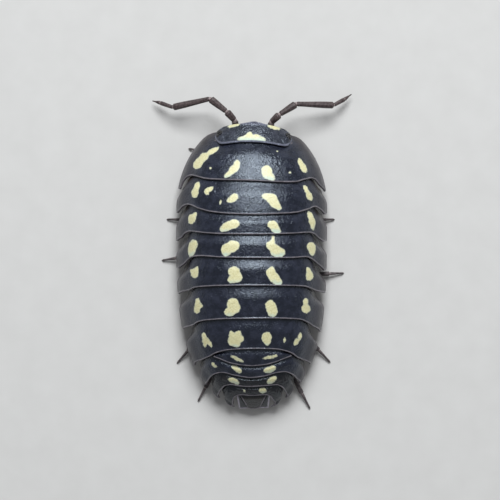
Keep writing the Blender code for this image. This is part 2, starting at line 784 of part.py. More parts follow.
def build():
    for old in list(bpy.data.objects):
        bpy.data.objects.remove(old)
    root = bpy.data.objects.new("woodlouse", None)
    bpy.context.collection.objects.link(root)
    armour = material("armour", (0.045, 0.048, 0.062), 0.42)
    limb = material("limb", (0.12, 0.095, 0.10), 0.5)
    lens = material("eye", (0.012, 0.012, 0.016), 0.2)
    belly = material("belly", (0.42, 0.38, 0.36), 0.55)

    head(armour, root)
    eyes(lens, root)
    antennae(limb, root)
    first_plate(armour, root)
    for number in range(2, 8):
        plate(f"pereonite_{number}", f"pereonite_{number - 1}", armour, root)
    plate("pleonite_2", "pereonite_7", armour, root, LENS_END, 12)
    plate("pleonite_3", "pleonite_2", armour, root, 90.0, 20)
    plate("pleonite_4", "pleonite_3", armour, root, 90.0, 20)
    plate("pleonite_5", "pleonite_4", armour, root, 90.0, 20)
    telson_and_uropods(armour, root)
    thorax_underside(belly, root)
    abdomen_underside(belly, root)
    legs(limb, root)
    stand_on_origin(root)


build()
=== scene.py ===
import math

import bpy
import numpy as np
from mathutils import Euler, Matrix, Vector, kdtree, noise


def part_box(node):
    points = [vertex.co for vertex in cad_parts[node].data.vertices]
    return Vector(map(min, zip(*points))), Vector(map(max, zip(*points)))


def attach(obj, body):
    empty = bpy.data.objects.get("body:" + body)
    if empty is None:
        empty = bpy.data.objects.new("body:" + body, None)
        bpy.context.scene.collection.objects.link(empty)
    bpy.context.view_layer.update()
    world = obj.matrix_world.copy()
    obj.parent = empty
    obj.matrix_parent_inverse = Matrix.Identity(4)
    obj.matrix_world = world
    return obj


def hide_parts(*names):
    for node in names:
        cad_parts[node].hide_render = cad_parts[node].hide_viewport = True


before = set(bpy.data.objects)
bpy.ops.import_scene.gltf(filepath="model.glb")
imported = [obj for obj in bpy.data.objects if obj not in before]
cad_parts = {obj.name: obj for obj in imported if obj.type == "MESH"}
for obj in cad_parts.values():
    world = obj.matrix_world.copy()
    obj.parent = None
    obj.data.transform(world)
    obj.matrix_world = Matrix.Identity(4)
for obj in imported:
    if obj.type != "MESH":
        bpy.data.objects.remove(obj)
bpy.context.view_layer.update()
bpy.ops.object.select_all(action="DESELECT")
MM = 0.001
print("packed parts:", len(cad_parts))

# %% [markdown]
# ## The form that every plate follows
# The plates of a pill woodlouse fit together so well that the whole back reads as one smooth form. It is
# described by two curves along the body: half the width at the lower edge of the sides, and the height of
# the ridge. A point of the back then needs only a place along the body, an angle round the arch (0 on the
# ridge, 90 at the right edge) and a depth below the surface. A faint waist runs along each flank, where
# the arch turns down. The functions take whole arrays, because a plate has many thousand points.
# %% The form of the back
BODY_LENGTH = 18.0 * MM
BODY_WIDTH = 9.44 * MM
BACK_HEIGHT = 4.75 * MM
SKIRT_HEIGHT = 0.85 * MM
WIDEST_AT = 0.2 * BODY_LENGTH
WIDE_NOSE_REACH = 0.325 * BODY_LENGTH
WIDE_TAIL_REACH = 0.71 * BODY_LENGTH
HIGHEST_AT = 0.033 * BODY_LENGTH
HIGH_NOSE_REACH = 0.605 * BODY_LENGTH
HIGH_TAIL_REACH = 0.555 * BODY_LENGTH
WAIST_DEPTH = 0.07 * MM
WAIST_ANGLE = 60.0
WAIST_SPREAD = 9.0
MOST_SLANT = 1.6
SLOPE_STEP = 0.02 * MM


def smooth(t):
    t = np.clip(t, 0.0, 1.0)
    return t * t * (3.0 - 2.0 * t)


def rise_from(value, start, over):
    """A smooth step that begins at the start and is complete when the value is so much more."""
    return smooth((value - start) / over)


def mix(a, b, t):
    return a + (b - a) * t


def hump(x, middle, width):
    return np.exp(-(((x - middle) / width) ** 2))


def half_width(y):
    nose = 1.0 - np.clip((y - WIDEST_AT) / WIDE_NOSE_REACH, 0.0, 1.0) ** 2.1
    tail = 1.0 - np.clip((WIDEST_AT - y) / WIDE_TAIL_REACH, 0.0, 1.0) ** 3.8
    return 0.5 * BODY_WIDTH * np.minimum(nose, tail) ** 0.55


def back_height(y):
    nose = 1.0 - np.clip((y - HIGHEST_AT) / HIGH_NOSE_REACH, 0.0, 1.0) ** 2.15
    tail = 1.0 - np.clip((HIGHEST_AT - y) / HIGH_TAIL_REACH, 0.0, 1.0) ** 2.6
    return BACK_HEIGHT * np.minimum(nose, tail) ** (1.0 / 1.3)


def slant(profile, y):
    """How much longer than its depth a square cut through a slanting wall looks."""
    slope = (profile(y + SLOPE_STEP) - profile(y - SLOPE_STEP)) / (2.0 * SLOPE_STEP)
    return np.minimum(MOST_SLANT, np.sqrt(1.0 + slope * slope))


def arch(y, angle, depth):
    """Points of the straight body. The last axis of the result is x, y, z."""
    y, angle, depth = np.broadcast_arrays(np.asarray(y, float), angle, depth)
    turn = np.radians(angle)
    wide = half_width(y) - depth * slant(half_width, y)
    high = back_height(y) - depth * slant(back_height, y)
    waist = WAIST_DEPTH * hump(np.abs(angle), WAIST_ANGLE, WAIST_SPREAD)
    x = (wide - waist) * np.sin(turn)
    z = SKIRT_HEIGHT + (high - SKIRT_HEIGHT - waist) * np.cos(turn)
    return np.stack([x, y, z], axis=-1)


def cover(x, y, depth=0.0):
    """The points of the back straight above places seen from above."""
    x, y = np.broadcast_arrays(np.asarray(x, float), y)
    share = np.clip(np.abs(x) / (half_width(y) - depth * slant(half_width, y)), 0.0, 0.98)
    return arch(y, np.copysign(np.degrees(np.arcsin(share)), x), depth)


# %% [markdown]
# A walking woodlouse is never quite straight. The body curves a little to its right in front and behind,
# so each point is turned and shifted by how far along the body it lies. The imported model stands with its
# middle over the origin, so everything was also moved a little after it was shaped. The left eye tells
# how far: its place on the back is known.
# %% The bend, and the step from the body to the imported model
BEND_AT = 1.0 * MM
FRONT_BEND = 2.7
REAR_BEND = 1.5
EYE_ACROSS = 2.13 * MM
EYE_ALONG = 8.14 * MM
EYE_SINK = 0.02 * MM


def lie(points):
    points = np.asarray(points, float)
    away = points[..., 1] - BEND_AT
    bend = np.where(away > 0.0, FRONT_BEND, REAR_BEND)
    turn = -2.0 * bend * away
    x = bend * away * away + points[..., 0] * np.cos(turn)
    y = points[..., 1] + points[..., 0] * np.sin(turn)
    return np.stack([x, y, points[..., 2]], axis=-1)


low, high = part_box("eye_left")
MOVED = np.array((low + high) / 2) - lie(cover(-EYE_ACROSS, EYE_ALONG, EYE_SINK))
print("moved by, in mm:", np.round(MOVED / MM, 3))


def placed(points):
    """Points of the straight body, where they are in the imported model."""
    return lie(points) + MOVED


# %% [markdown]
# ## The camera
# The photograph looks straight down. The animal's 18 mm fill 288 of its 500 pixels, which is 16 pixels to
# the millimetre, so the frame is 31.25 mm wide. A long lens from 20 cm above keeps the flattened look of
# a close-up. The same numbers, turned round, say where a point of the model appears in the photograph,
# and that is how the spots find their places later.
# %% Camera
PHOTO_SIZE = 500.0
PIXELS_PER_MM = 16.0
PHOTO_MIDLINE = Vector((251.5, 266.0))
FRAME_WIDTH = PHOTO_SIZE / PIXELS_PER_MM * MM
FOCUS_HEIGHT = 2.5 * MM
CAMERA_HEIGHT = 203.0 * MM
SENSOR = 36.0

frame_middle = (
    (0.5 * PHOTO_SIZE - PHOTO_MIDLINE.x) / PIXELS_PER_MM * MM + MOVED[0],
    (PHOTO_MIDLINE.y - 0.5 * PHOTO_SIZE) / PIXELS_PER_MM * MM + MOVED[1],
)
bpy.ops.object.camera_add(location=(*frame_middle, CAMERA_HEIGHT), rotation=(0.0, 0.0, 0.0))
camera = bpy.context.object
camera.name = "camera"
camera.data.sensor_width = SENSOR
camera.data.lens = SENSOR * (CAMERA_HEIGHT - FOCUS_HEIGHT) / FRAME_WIDTH
camera.data.clip_start = 10.0 * MM
camera.data.clip_end = 3.0
bpy.context.scene.camera = camera


def seen_at(points):
    """Where points of the model appear in the photograph, in its pixels from the top left."""
    closer = (CAMERA_HEIGHT - FOCUS_HEIGHT) / (CAMERA_HEIGHT - points[..., 2])
    scale = PIXELS_PER_MM / MM * closer
    x = 0.5 * PHOTO_SIZE + (points[..., 0] - frame_middle[0]) * scale
    y = 0.5 * PHOTO_SIZE - (points[..., 1] - frame_middle[1]) * scale
    return x, y


# %% [markdown]
# ## Wrapping a flat grid
# Most pieces of this animal are bent sheets and tapered tubes. Each starts as Blender's flat grid, and its
# vertices are then laid where a formula wants them. Moving them by hand could never follow the arch of
# the back, and the grid keeps its even faces, so that fine relief can be added afterwards. A value at each
# vertex, such as the distance to the plate's edge, is kept as an attribute for the finishes to read.
# %% Helpers for wrapped sheets
SEAM = 0.0002 * MM


def read(piece, what="co"):
    values = np.empty(len(piece.data.vertices) * 3)
    piece.data.vertices.foreach_get(what, values)
    return values.reshape(-1, 3)


def write(piece, points):
    piece.data.vertices.foreach_set("co", np.ascontiguousarray(points).ravel())
    piece.data.update()


def paint(piece, name, values):
    held = piece.data.attributes.get(name) or piece.data.attributes.new(name, "FLOAT", "POINT")
    held.data.foreach_set("value", np.asarray(values, np.float32))


def painted(piece, name):
    values = np.empty(len(piece.data.vertices), np.float32)
    piece.data.attributes[name].data.foreach_get("value", values)
    return values


def wrapped_grid(name, points, **fields):
    """A grid with one vertex for each of points[row, column], and a painted value for each of the fields."""
    rows, columns = points.shape[:2]
    bpy.ops.mesh.primitive_grid_add(x_subdivisions=columns - 1, y_subdivisions=rows - 1, size=2.0)
    piece = bpy.context.object
    piece.name = name
    flat = read(piece)
    column = np.rint((flat[:, 0] + 1.0) / 2.0 * (columns - 1)).astype(int)
    row = np.rint((flat[:, 1] + 1.0) / 2.0 * (rows - 1)).astype(int)
    write(piece, points[row, column])
    for field, values in fields.items():
        paint(piece, field, np.broadcast_to(values, points.shape[:2])[row, column])
    return piece


# %% [markdown]
# Some steps are Blender's own operators, which work on what is selected.
# %% Helpers that use operators
def pick(*pieces):
    """Selects these pieces alone and makes the first one active."""
    bpy.ops.object.select_all(action="DESELECT")
    for piece in pieces:
        piece.select_set(True)
    bpy.context.view_layer.objects.active = pieces[0]


def sealed(piece):
    """Joins the seam and the poles of a wrapped tube and turns its faces outwards."""
    pick(piece)
    bpy.ops.object.mode_set(mode="EDIT")
    bpy.ops.mesh.select_all(action="SELECT")
    bpy.ops.mesh.remove_doubles(threshold=SEAM)
    bpy.ops.mesh.normals_make_consistent(inside=False)
    bpy.ops.object.mode_set(mode="OBJECT")
    return piece


def coloured(piece, *finishes):
    """Gives a piece its materials."""
    for finish in finishes:
        piece.data.materials.append(finish)
    return piece


def applied(piece, kind, **settings):
    """Adds a modifier and applies it."""
    pick(piece)
    modifier = piece.modifiers.new(kind, kind)
    for name, value in settings.items():
        setattr(modifier, name, value)
    bpy.ops.object.modifier_apply(modifier=modifier.name)
    return piece


def joined(name, pieces):
    """Several pieces as one object."""
    pick(*pieces)
    bpy.ops.object.join()
    pieces[0].name = name
    return pieces[0]


def settled(piece, slot, *nodes):
    """The last step of every piece: smooth shading, its place in the model, and the parts it stands for."""
    pick(piece)
    bpy.ops.object.transform_apply(location=True, rotation=True, scale=True)
    bpy.ops.object.shade_smooth()
    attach(piece, "root")
    if nodes:
        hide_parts(*nodes)
    piece.select_set(False)
    print(piece.name, "faces:", len(piece.data.polygons))
    return piece


def rough(points, size, seed):
    """Smooth random values, one for each point, with features of about the size."""
    shift = Vector((seed * 3.7, seed * 1.3, seed * 7.1))
    return np.array([noise.noise(Vector(p) / size + shift) for p in points])


# %% [markdown]
# ## Finishes that several materials share
# Woodlouse shell is grainy rather than flat: under a lens it is covered with tiny pits and scales, which
# break its gloss into sparkle. The same grain, the same cream pigment and the same pale edge return on the
# plates, the head and the tail, so each is a node group, built once. The groups put out colours, masks and
# heights, and every material keeps its own shader.
# %% Node helpers
def add(tree, kind, inputs=(), **settings):
    """A new node. Inputs are given by name or number, as a value, a colour or another node's socket."""
    made = tree.nodes.new(kind)
    for name, value in settings.items():
        setattr(made, name, value)
    for socket, value in dict(inputs).items():
        if isinstance(value, bpy.types.NodeSocket):
            tree.links.new(value, made.inputs[socket])
        else:
            made.inputs[socket].default_value = (*value, 1.0) if isinstance(value, tuple) else value
    return made


def math_node(tree, operation, a, b, clamp=False):
    return add(tree, "ShaderNodeMath", {0: a, 1: b}, operation=operation, use_clamp=clamp).outputs[0]


def plus(tree, a, b):
    return math_node(tree, "ADD", a, b)


def times(tree, a, b):
    return math_node(tree, "MULTIPLY", a, b)


def ramp(tree, value, low, high, to_low=0.0, to_high=1.0):
    """A smooth step of a value from low to high."""
    inputs = {"Value": value, "From Min": low, "From Max": high, "To Min": to_low, "To Max": to_high}
    return add(tree, "ShaderNodeMapRange", inputs, interpolation_type="SMOOTHSTEP").outputs["Result"]


def blend(tree, share, a, b):
    """A mix of two colours."""
    return add(tree, "ShaderNodeMix", {0: share, 6: a, 7: b}, data_type="RGBA").outputs[2]


def speckle(tree, vector, size, detail=2.0, roughness=0.5):
    """Noise whose features are about the size, in millimetres."""
    inputs = {"Vector": vector, "Scale": 1.0 / (size * MM), "Detail": detail, "Roughness": roughness}
    return add(tree, "ShaderNodeTexNoise", inputs).outputs["Fac"]


def new_group(name, inputs, outputs):
    tree = bpy.data.node_groups.new(name, "ShaderNodeTree")
    for label, kind in inputs:
        tree.interface.new_socket(name=label, in_out="INPUT", socket_type=kind)
    for label, kind in outputs:
        tree.interface.new_socket(name=label, in_out="OUTPUT", socket_type=kind)
    return tree, tree.nodes.new("NodeGroupInput").outputs, tree.nodes.new("NodeGroupOutput").inputs


FLOAT = "NodeSocketFloat"
VECTOR = "NodeSocketVector"
COLOUR = "NodeSocketColor"

# %% [markdown]
# The grain is two layers: rounded pits a few hundredths of a millimetre wide, and a finer powder between
# them. Its height goes to a bump node in the material.
# %% Shell grain
grain, given, wanted = new_group(
    "shell grain", [("Vector", VECTOR), ("Coarse", FLOAT)], [("Height", FLOAT)]
)
PIT_SIZE = 0.085 * MM
cells = add(
    grain,
    "ShaderNodeTexVoronoi",
    {"Vector": given["Vector"], "Scale": 1.0 / PIT_SIZE},
    feature="SMOOTH_F1",
)
fine = speckle(grain, given["Vector"], 0.045, 3.0, 0.6)
broad = speckle(grain, given["Vector"], 0.22, 2.0, 0.5)
pits = times(grain, cells.outputs["Distance"], 0.9)
powder = times(grain, fine, 0.55)
waves = times(grain, broad, given["Coarse"])
grain.links.new(plus(grain, plus(grain, pits, powder), waves), wanted["Height"])

# %% [markdown]
# The spots are pigment under a clear surface. Their edge is slightly ragged, their body is faintly grainy,
# and towards a plate's rear edge the cream turns to a pale mint, where the pigment thins out. The group is
# given the distance inside the spot's outline, which each mesh carries, and the distance to the plate's
# edge.
# %% Cream pigment
cream, given, wanted = new_group(
    "cream pigment",
    [("Vector", VECTOR), ("Inside", FLOAT), ("Margin", FLOAT)],
    [("Mask", FLOAT), ("Colour", COLOUR)],
)
ragged = math_node(cream, "SUBTRACT", speckle(cream, given["Vector"], 0.16, 4.0, 0.62), 0.5)
edge = plus(cream, given["Inside"], times(cream, ragged, 0.16))
grains = speckle(cream, given["Vector"], 0.05, 2.0, 0.5)
body = blend(cream, ramp(cream, grains, 0.34, 0.62), (0.62, 0.56, 0.27), (0.83, 0.79, 0.49))
cloud = speckle(cream, given["Vector"], 0.25, 1.0, 0.5)
near_edge = plus(cream, given["Margin"], times(cream, cloud, 0.3))
minted = blend(cream, ramp(cream, near_edge, 0.28, 0.60), (0.56, 0.67, 0.54), body)
thin = blend(cream, ramp(cream, edge, 0.0, 0.07), (0.55, 0.56, 0.40), minted)
cream.links.new(thin, wanted["Colour"])
cream.links.new(ramp(cream, edge, -0.012, 0.014), wanted["Mask"])

# %% [markdown]
# Every free edge of the shell is a thin bead without pigment, greyish pink, with the light just coming
# through it.
# %% Pale edge
pale_edge, given, wanted = new_group(
    "pale edge", [("Vector", VECTOR), ("Margin", FLOAT), ("Width", FLOAT)], [("Mask", FLOAT)]
)
wander = times(pale_edge, speckle(pale_edge, given["Vector"], 0.35), 0.05)
shifted = math_node(pale_edge, "SUBTRACT", plus(pale_edge, given["Margin"], wander), given["Width"])
pale_edge.links.new(ramp(pale_edge, shifted, 0.03, -0.005), wanted["Mask"])
print("node groups:", [group.name for group in bpy.data.node_groups])


# %% [markdown]
# ## The shell
# The plates are slate with a little blue, browner and paler down the flanks, where the shell is thin. Gloss
# is satin: smooth enough for a soft highlight, rough enough that the highlight breaks up. The wavy patches
# where muscles are fixed inside are glossier than the rest.
# %% Shell finish
def group_node(tree, group, inputs):
    return add(tree, "ShaderNodeGroup", inputs, node_tree=group).outputs


def new_material(name):
    made = bpy.data.materials.new(name)
    made.use_nodes = True
    tree = made.node_tree
    where = add(tree, "ShaderNodeTexCoord").outputs["Object"]
    return made, tree, tree.nodes["Principled BSDF"], where


def field(tree, name):
    return add(tree, "ShaderNodeAttribute", attribute_name=name).outputs["Fac"]


def bumped(tree, shader, height, distance):
    made = add(tree, "ShaderNodeBump", {"Height": height, "Distance": distance * MM})
    tree.links.new(made.outputs["Normal"], shader.inputs["Normal"])


THIN_SHELL = (0.080, 0.067, 0.070)
CORNER_OCHRE = (0.075, 0.056, 0.032)
# Near-black painted shade for the strip where a plate comes out from under the rim of the plate before.
PAINTED_FOLD_SHADE = (0.003, 0.003, 0.004)
SHEEN = 0.62
SHEEN_BLUE = (0.80, 0.90, 1.0)


def shell_material(name, dark, light, flank_colour, edge_colour, coarse, grain_depth, rim=0.10):
    """A finish of the shell. The rim is the width of the pale edge, in millimetres."""
    made, tree, shader, where = new_material(name)
    margin = field(tree, "margin")
    blotch = speckle(tree, where, 0.45, 3.0, 0.55)
    ground = blend(tree, ramp(tree, blotch, 0.35, 0.68), dark, light)
    flank = math_node(tree, "MULTIPLY", field(tree, "flank"), ramp(tree, blotch, 0.1, 0.8, 0.6, 1.0), True)
    ground = blend(tree, flank, ground, flank_colour)
    ground = blend(tree, times(tree, field(tree, "thin"), 0.45), ground, THIN_SHELL)
    ground = blend(tree, field(tree, "corner"), ground, CORNER_OCHRE)
    pigment = group_node(tree, cream, {"Vector": where, "Inside": field(tree, "spot"), "Margin": margin})
    ground = blend(tree, pigment["Mask"], ground, pigment["Colour"])
    border = group_node(tree, pale_edge, {"Vector": where, "Margin": margin, "Width": rim})
    darker = tuple(0.72 * value for value in edge_colour)
    tint = blend(tree, ramp(tree, speckle(tree, where, 0.3), 0.35, 0.65), edge_colour, darker)
    ground = blend(tree, border["Mask"], ground, tint)
    # Painted shade: darkens the strip just behind the rim of the plate before, where that rim's shadow falls.
    ground = blend(tree, times(tree, field(tree, "fold"), 0.8), ground, PAINTED_FOLD_SHADE)
    tree.links.new(ground, shader.inputs["Base Color"])
    texture = group_node(tree, grain, {"Vector": where, "Coarse": coarse})
    gloss = ramp(tree, blotch, 0.3, 0.7, 0.22, 0.30)
    gloss = plus(tree, gloss, times(tree, flank, 0.14))
    gloss = math_node(tree, "SUBTRACT", gloss, times(tree, field(tree, "marks"), 0.12))
    gloss = plus(tree, gloss, times(tree, pigment["Mask"], 0.08))
    tree.links.new(gloss, shader.inputs["Roughness"])
    shader.inputs["Specular IOR Level"].default_value = SHEEN
    shader.inputs["Specular Tint"].default_value = (*SHEEN_BLUE, 1.0)
    bumped(tree, shader, texture["Height"], grain_depth)
    return made


# %% [markdown]
# The trunk's plates, the head, the tail and the tail feet differ in colour, and in how wide and how pale
# their edge is.
# %% The shells
SLATE = (0.0095, 0.0110, 0.0195)
SLATE_LIGHT = (0.022, 0.0245, 0.040)
FLANK_BROWN = (0.044, 0.035, 0.037)
EDGE_GREY = (0.185, 0.165, 0.180)
HEAD_DARK = (0.015, 0.017, 0.026)
HEAD_LIGHT = (0.036, 0.039, 0.055)
HEAD_EDGE = (0.17, 0.175, 0.23)
PALE_RIM = (0.50, 0.46, 0.52)
TAIL_DARK = (0.0075, 0.0072, 0.0085)
TAIL_BROWN = (0.020, 0.0165, 0.0165)
slate = shell_material("slate shell", SLATE, SLATE_LIGHT, FLANK_BROWN, EDGE_GREY, 0.3, 0.020)
head_slate = shell_material("head shell", HEAD_DARK, HEAD_LIGHT, FLANK_BROWN, HEAD_EDGE, 0.4, 0.024, 0.13)
tail_shell = shell_material("tail shell", TAIL_DARK, TAIL_BROWN, TAIL_BROWN, EDGE_GREY, 0.3, 0.018, 0.11)
tail_foot_shell = shell_material(
    "tail foot shell", TAIL_DARK, TAIL_BROWN, TAIL_BROWN, PALE_RIM, 0.2, 0.014, 0.13
)


# %% [markdown]
# Turned over, the shell has no pigment. Its inner face is the colour of thin horn.
# %% Inner face of the shell
def plain_material(name, low, high, size, roughness, grain_size, depth):
    """A finish of two mottled colours with a grain."""
    made, tree, shader, where = new_material(name)
    blotch = speckle(tree, where, size, 3.0, 0.6)
    tree.links.new(blend(tree, ramp(tree, blotch, 0.35, 0.65), low, high), shader.inputs["Base Color"])
    tree.links.new(ramp(tree, blotch, 0.3, 0.7, roughness, roughness + 0.1), shader.inputs["Roughness"])
    bumped(tree, shader, speckle(tree, where, grain_size, 3.0, 0.6), depth)
    return made


horn = plain_material("inner shell", (0.14, 0.115, 0.105), (0.25, 0.215, 0.195), 0.4, 0.45, 0.06, 0.006)

# %% [markdown]
# ## Where each plate ends
# Seen from above, no two plates have the same rear edge. The front ones are nearly straight, with a hump
# where the side plate begins, the middle ones sweep back at their corners, and the tail's plates curl round
# the one behind and end in points. SHOWN is the share of the body's length that each plate shows on the
# ridge. Every edge is also a light line in the photograph, and RIMS has the places where that line was
# seen, from the left corner to the right one, in the photograph's pixels.
# %% Rear edges as they were seen
SHOWN = {
    "head": 0.0705, "pereonite_1": 0.1355, "pereonite_2": 0.1172, "pereonite_3": 0.0673,
    "pereonite_4": 0.0826, "pereonite_5": 0.0950, "pereonite_6": 0.1158, "pereonite_7": 0.1030,
    "pleonite_2": 0.0600, "pleonite_3": 0.0406, "pleonite_4": 0.0305, "pleonite_5": 0.0291,
    "telson": 0.0529,
}
ENDS = dict(zip(SHOWN, 0.5 * BODY_LENGTH - np.cumsum(list(SHOWN.values())) * BODY_LENGTH))
RIMS = {
    "pereonite_1": ((180.1, 188.4), (183, 181.2), (187, 176.5), (191.6, 175), (198, 176.3), (205, 178.2),
                    (217, 179.1), (252, 180.1), (285, 181.6), (296, 181.4), (304.3, 179.2), (311.5, 177.8),
                    (315.3, 179.2), (319.9, 184.7), (324.4, 190.8)),
    "pereonite_2": ((178, 212.4), (179.5, 209.5), (183.5, 205.4), (187.8, 204.1), (192.2, 205.2),
                    (198, 207.9), (212.4, 211.5), (232, 213.3), (254, 213.9), (280, 213.2), (295.1, 212.3),
                    (307.8, 209.1), (314.8, 206.4), (320.5, 209.2), (324.5, 213.6)),
    "pereonite_3": ((177.4, 240.3), (181.2, 237.2), (185.3, 232.7), (190, 231), (203.7, 232.4), (220, 233.5),
                    (252, 233.8), (290, 233.2), (309.5, 232.2), (314.1, 233.7), (318.7, 237.8),
                    (323, 240.8)),
    "pereonite_4": ((178.4, 267.7), (183.5, 263.8), (188.2, 259.2), (192.2, 256.6), (200.9, 255.6),
                    (220, 256.9), (252, 257.5), (290, 257.5), (306, 256.6), (312.4, 259.2), (317.6, 263.5),
                    (324.4, 270)),
    "pereonite_5": ((178.8, 293.3), (183.5, 291), (189.3, 289.7), (193.9, 287.4), (200.9, 286.4),
                    (220, 285.5), (252, 285.1), (290, 285.4), (303.7, 286), (310.7, 288.1), (317, 290.7),
                    (325, 292.6)),
    "pereonite_6": ((183.6, 328.5), (187, 326.5), (193.4, 324.6), (198, 321.6), (206.6, 319.8),
                    (232, 318.4), (262, 318), (298, 318.8), (306.6, 321.5), (313.5, 326), (320.2, 331.4)),
    "pereonite_7": ((192.6, 365), (196, 361.2), (202.8, 358.9), (209.7, 356), (216, 352.6), (230, 349.4),
                    (252, 348.3), (275.3, 348.8), (289.7, 352), (298.4, 357.6), (305.3, 360.1),
                    (309.4, 362), (311.9, 364)),
    "pleonite_2": ((212.6, 356), (220, 358.7), (229.9, 362.6), (240, 364.6), (251.5, 365.5),
                   (264.9, 364.4), (275.3, 361.8), (284, 358.4), (291.5, 355.6)),
    "pleonite_3": ((203.6, 384.2), (206.6, 382), (210.3, 376.8), (215.5, 373.4), (222, 372.2), (235.7, 375.2),
                   (251, 377.3), (264.9, 375.7), (276, 372.5), (284, 371.5), (292, 374), (297.5, 378.8),
                   (300.6, 382.8)),
    "pleonite_4": ((216.6, 397.6), (218.4, 393.3), (221.9, 388.4), (226, 385), (231, 384.4), (240, 385.8),
                   (251, 386.2), (264.9, 385.4), (276, 384.5), (280.5, 385.8), (285, 390.4),
                   (288.8, 397.4)),
    "pleonite_5": ((231.9, 406.6), (232.4, 402.5), (233.4, 398.6), (237, 395.1), (241.5, 394.5),
                   (252, 395.2), (264.5, 394.4), (269.4, 395.4), (272.3, 399), (274.3, 406.4)),
}

# %% [markdown]
# Each of those places is then turned round: starting from a rough guess, the point of the back is shifted
# until the camera sees it at the wanted pixel. A smooth line over the angle of the arch joins the points.
# Cubic pieces with careful slopes are used, because an ordinary spline would swing past the corners. The
# light line is the top of the rolled bead, so the plate ends a little behind it.
# %% Rear edges on the body
BEAD_MIDDLE = 0.05 * MM


def on_back(pixels):
    """The angles, and the places along the body, of the points of the back seen at the pixels."""
    wanted = np.array(pixels, float)
    x = (wanted[:, 0] - PHOTO_MIDLINE.x) / PIXELS_PER_MM * MM
    y = (PHOTO_MIDLINE.y - wanted[:, 1]) / PIXELS_PER_MM * MM
    for _ in range(15):
        seen_x, seen_y = seen_at(placed(cover(x, y)))
        x = np.clip(x + (wanted[:, 0] - seen_x) / PIXELS_PER_MM * MM, -half_width(y), half_width(y))
        y = y - (wanted[:, 1] - seen_y) / PIXELS_PER_MM * MM
    return np.degrees(np.arcsin(np.clip(x / half_width(y), -0.995, 0.995))), y


def smooth_line(at, values):
    """A smooth curve through the values that never swings past them."""
    gaps = np.diff(at)
    slopes = np.diff(values) / gaps
    same_way = slopes[:-1] * slopes[1:] > 0.0
    total = np.where(same_way, slopes[:-1] + slopes[1:], 1.0)
    inner = np.where(same_way, 2.0 * slopes[:-1] * slopes[1:] / total, 0.0)
    tangents = np.concatenate([slopes[:1], inner, slopes[-1:]])

    def line(x):
        x = np.clip(x, at[0], at[-1])
        k = np.clip(np.searchsorted(at, x, side="right") - 1, 0, len(gaps) - 1)
        t = (x - at[k]) / gaps[k]
        start = (1.0 + 2.0 * t) * values[k] + t * gaps[k] * tangents[k]
        end = (3.0 - 2.0 * t) * values[k + 1] + (t - 1.0) * gaps[k] * tangents[k + 1]
        return (1.0 - t) ** 2 * start + t * t * end

    return line


EDGES = {name: smooth_line(*on_back(pixels)) for name, pixels in RIMS.items()}


def rear_edge(name, angle):
    return EDGES[name](angle) - BEAD_MIDDLE


# %% [markdown]
# The head has two edges of its own, both written as places along the body. The rear one is a shallow bow,
# and the brow is a bow with a peak in the middle.
# %% The head's edges
HEAD_HALF = 2.31 * MM
HEAD_REAR_BOW = 0.056 / MM
BROW_FRONT = 8.91 * MM
BROW_BOW = 0.0700 / MM
PEAK = 0.12 * MM
PEAK_HALF = 0.85 * MM


def head_rear(x):
    return ENDS["head"] - HEAD_REAR_BOW * x * x


def brow(x):
    peak = PEAK * np.maximum(0.0, 1.0 - np.abs(x) / PEAK_HALF) ** 1.2
    return BROW_FRONT - BROW_BOW * x * x + peak


on_ridge = {name: round(float(rear_edge(name, 0.0)) / MM, 2) for name in RIMS}
print("middles of the rear edges, in mm:", on_ridge)
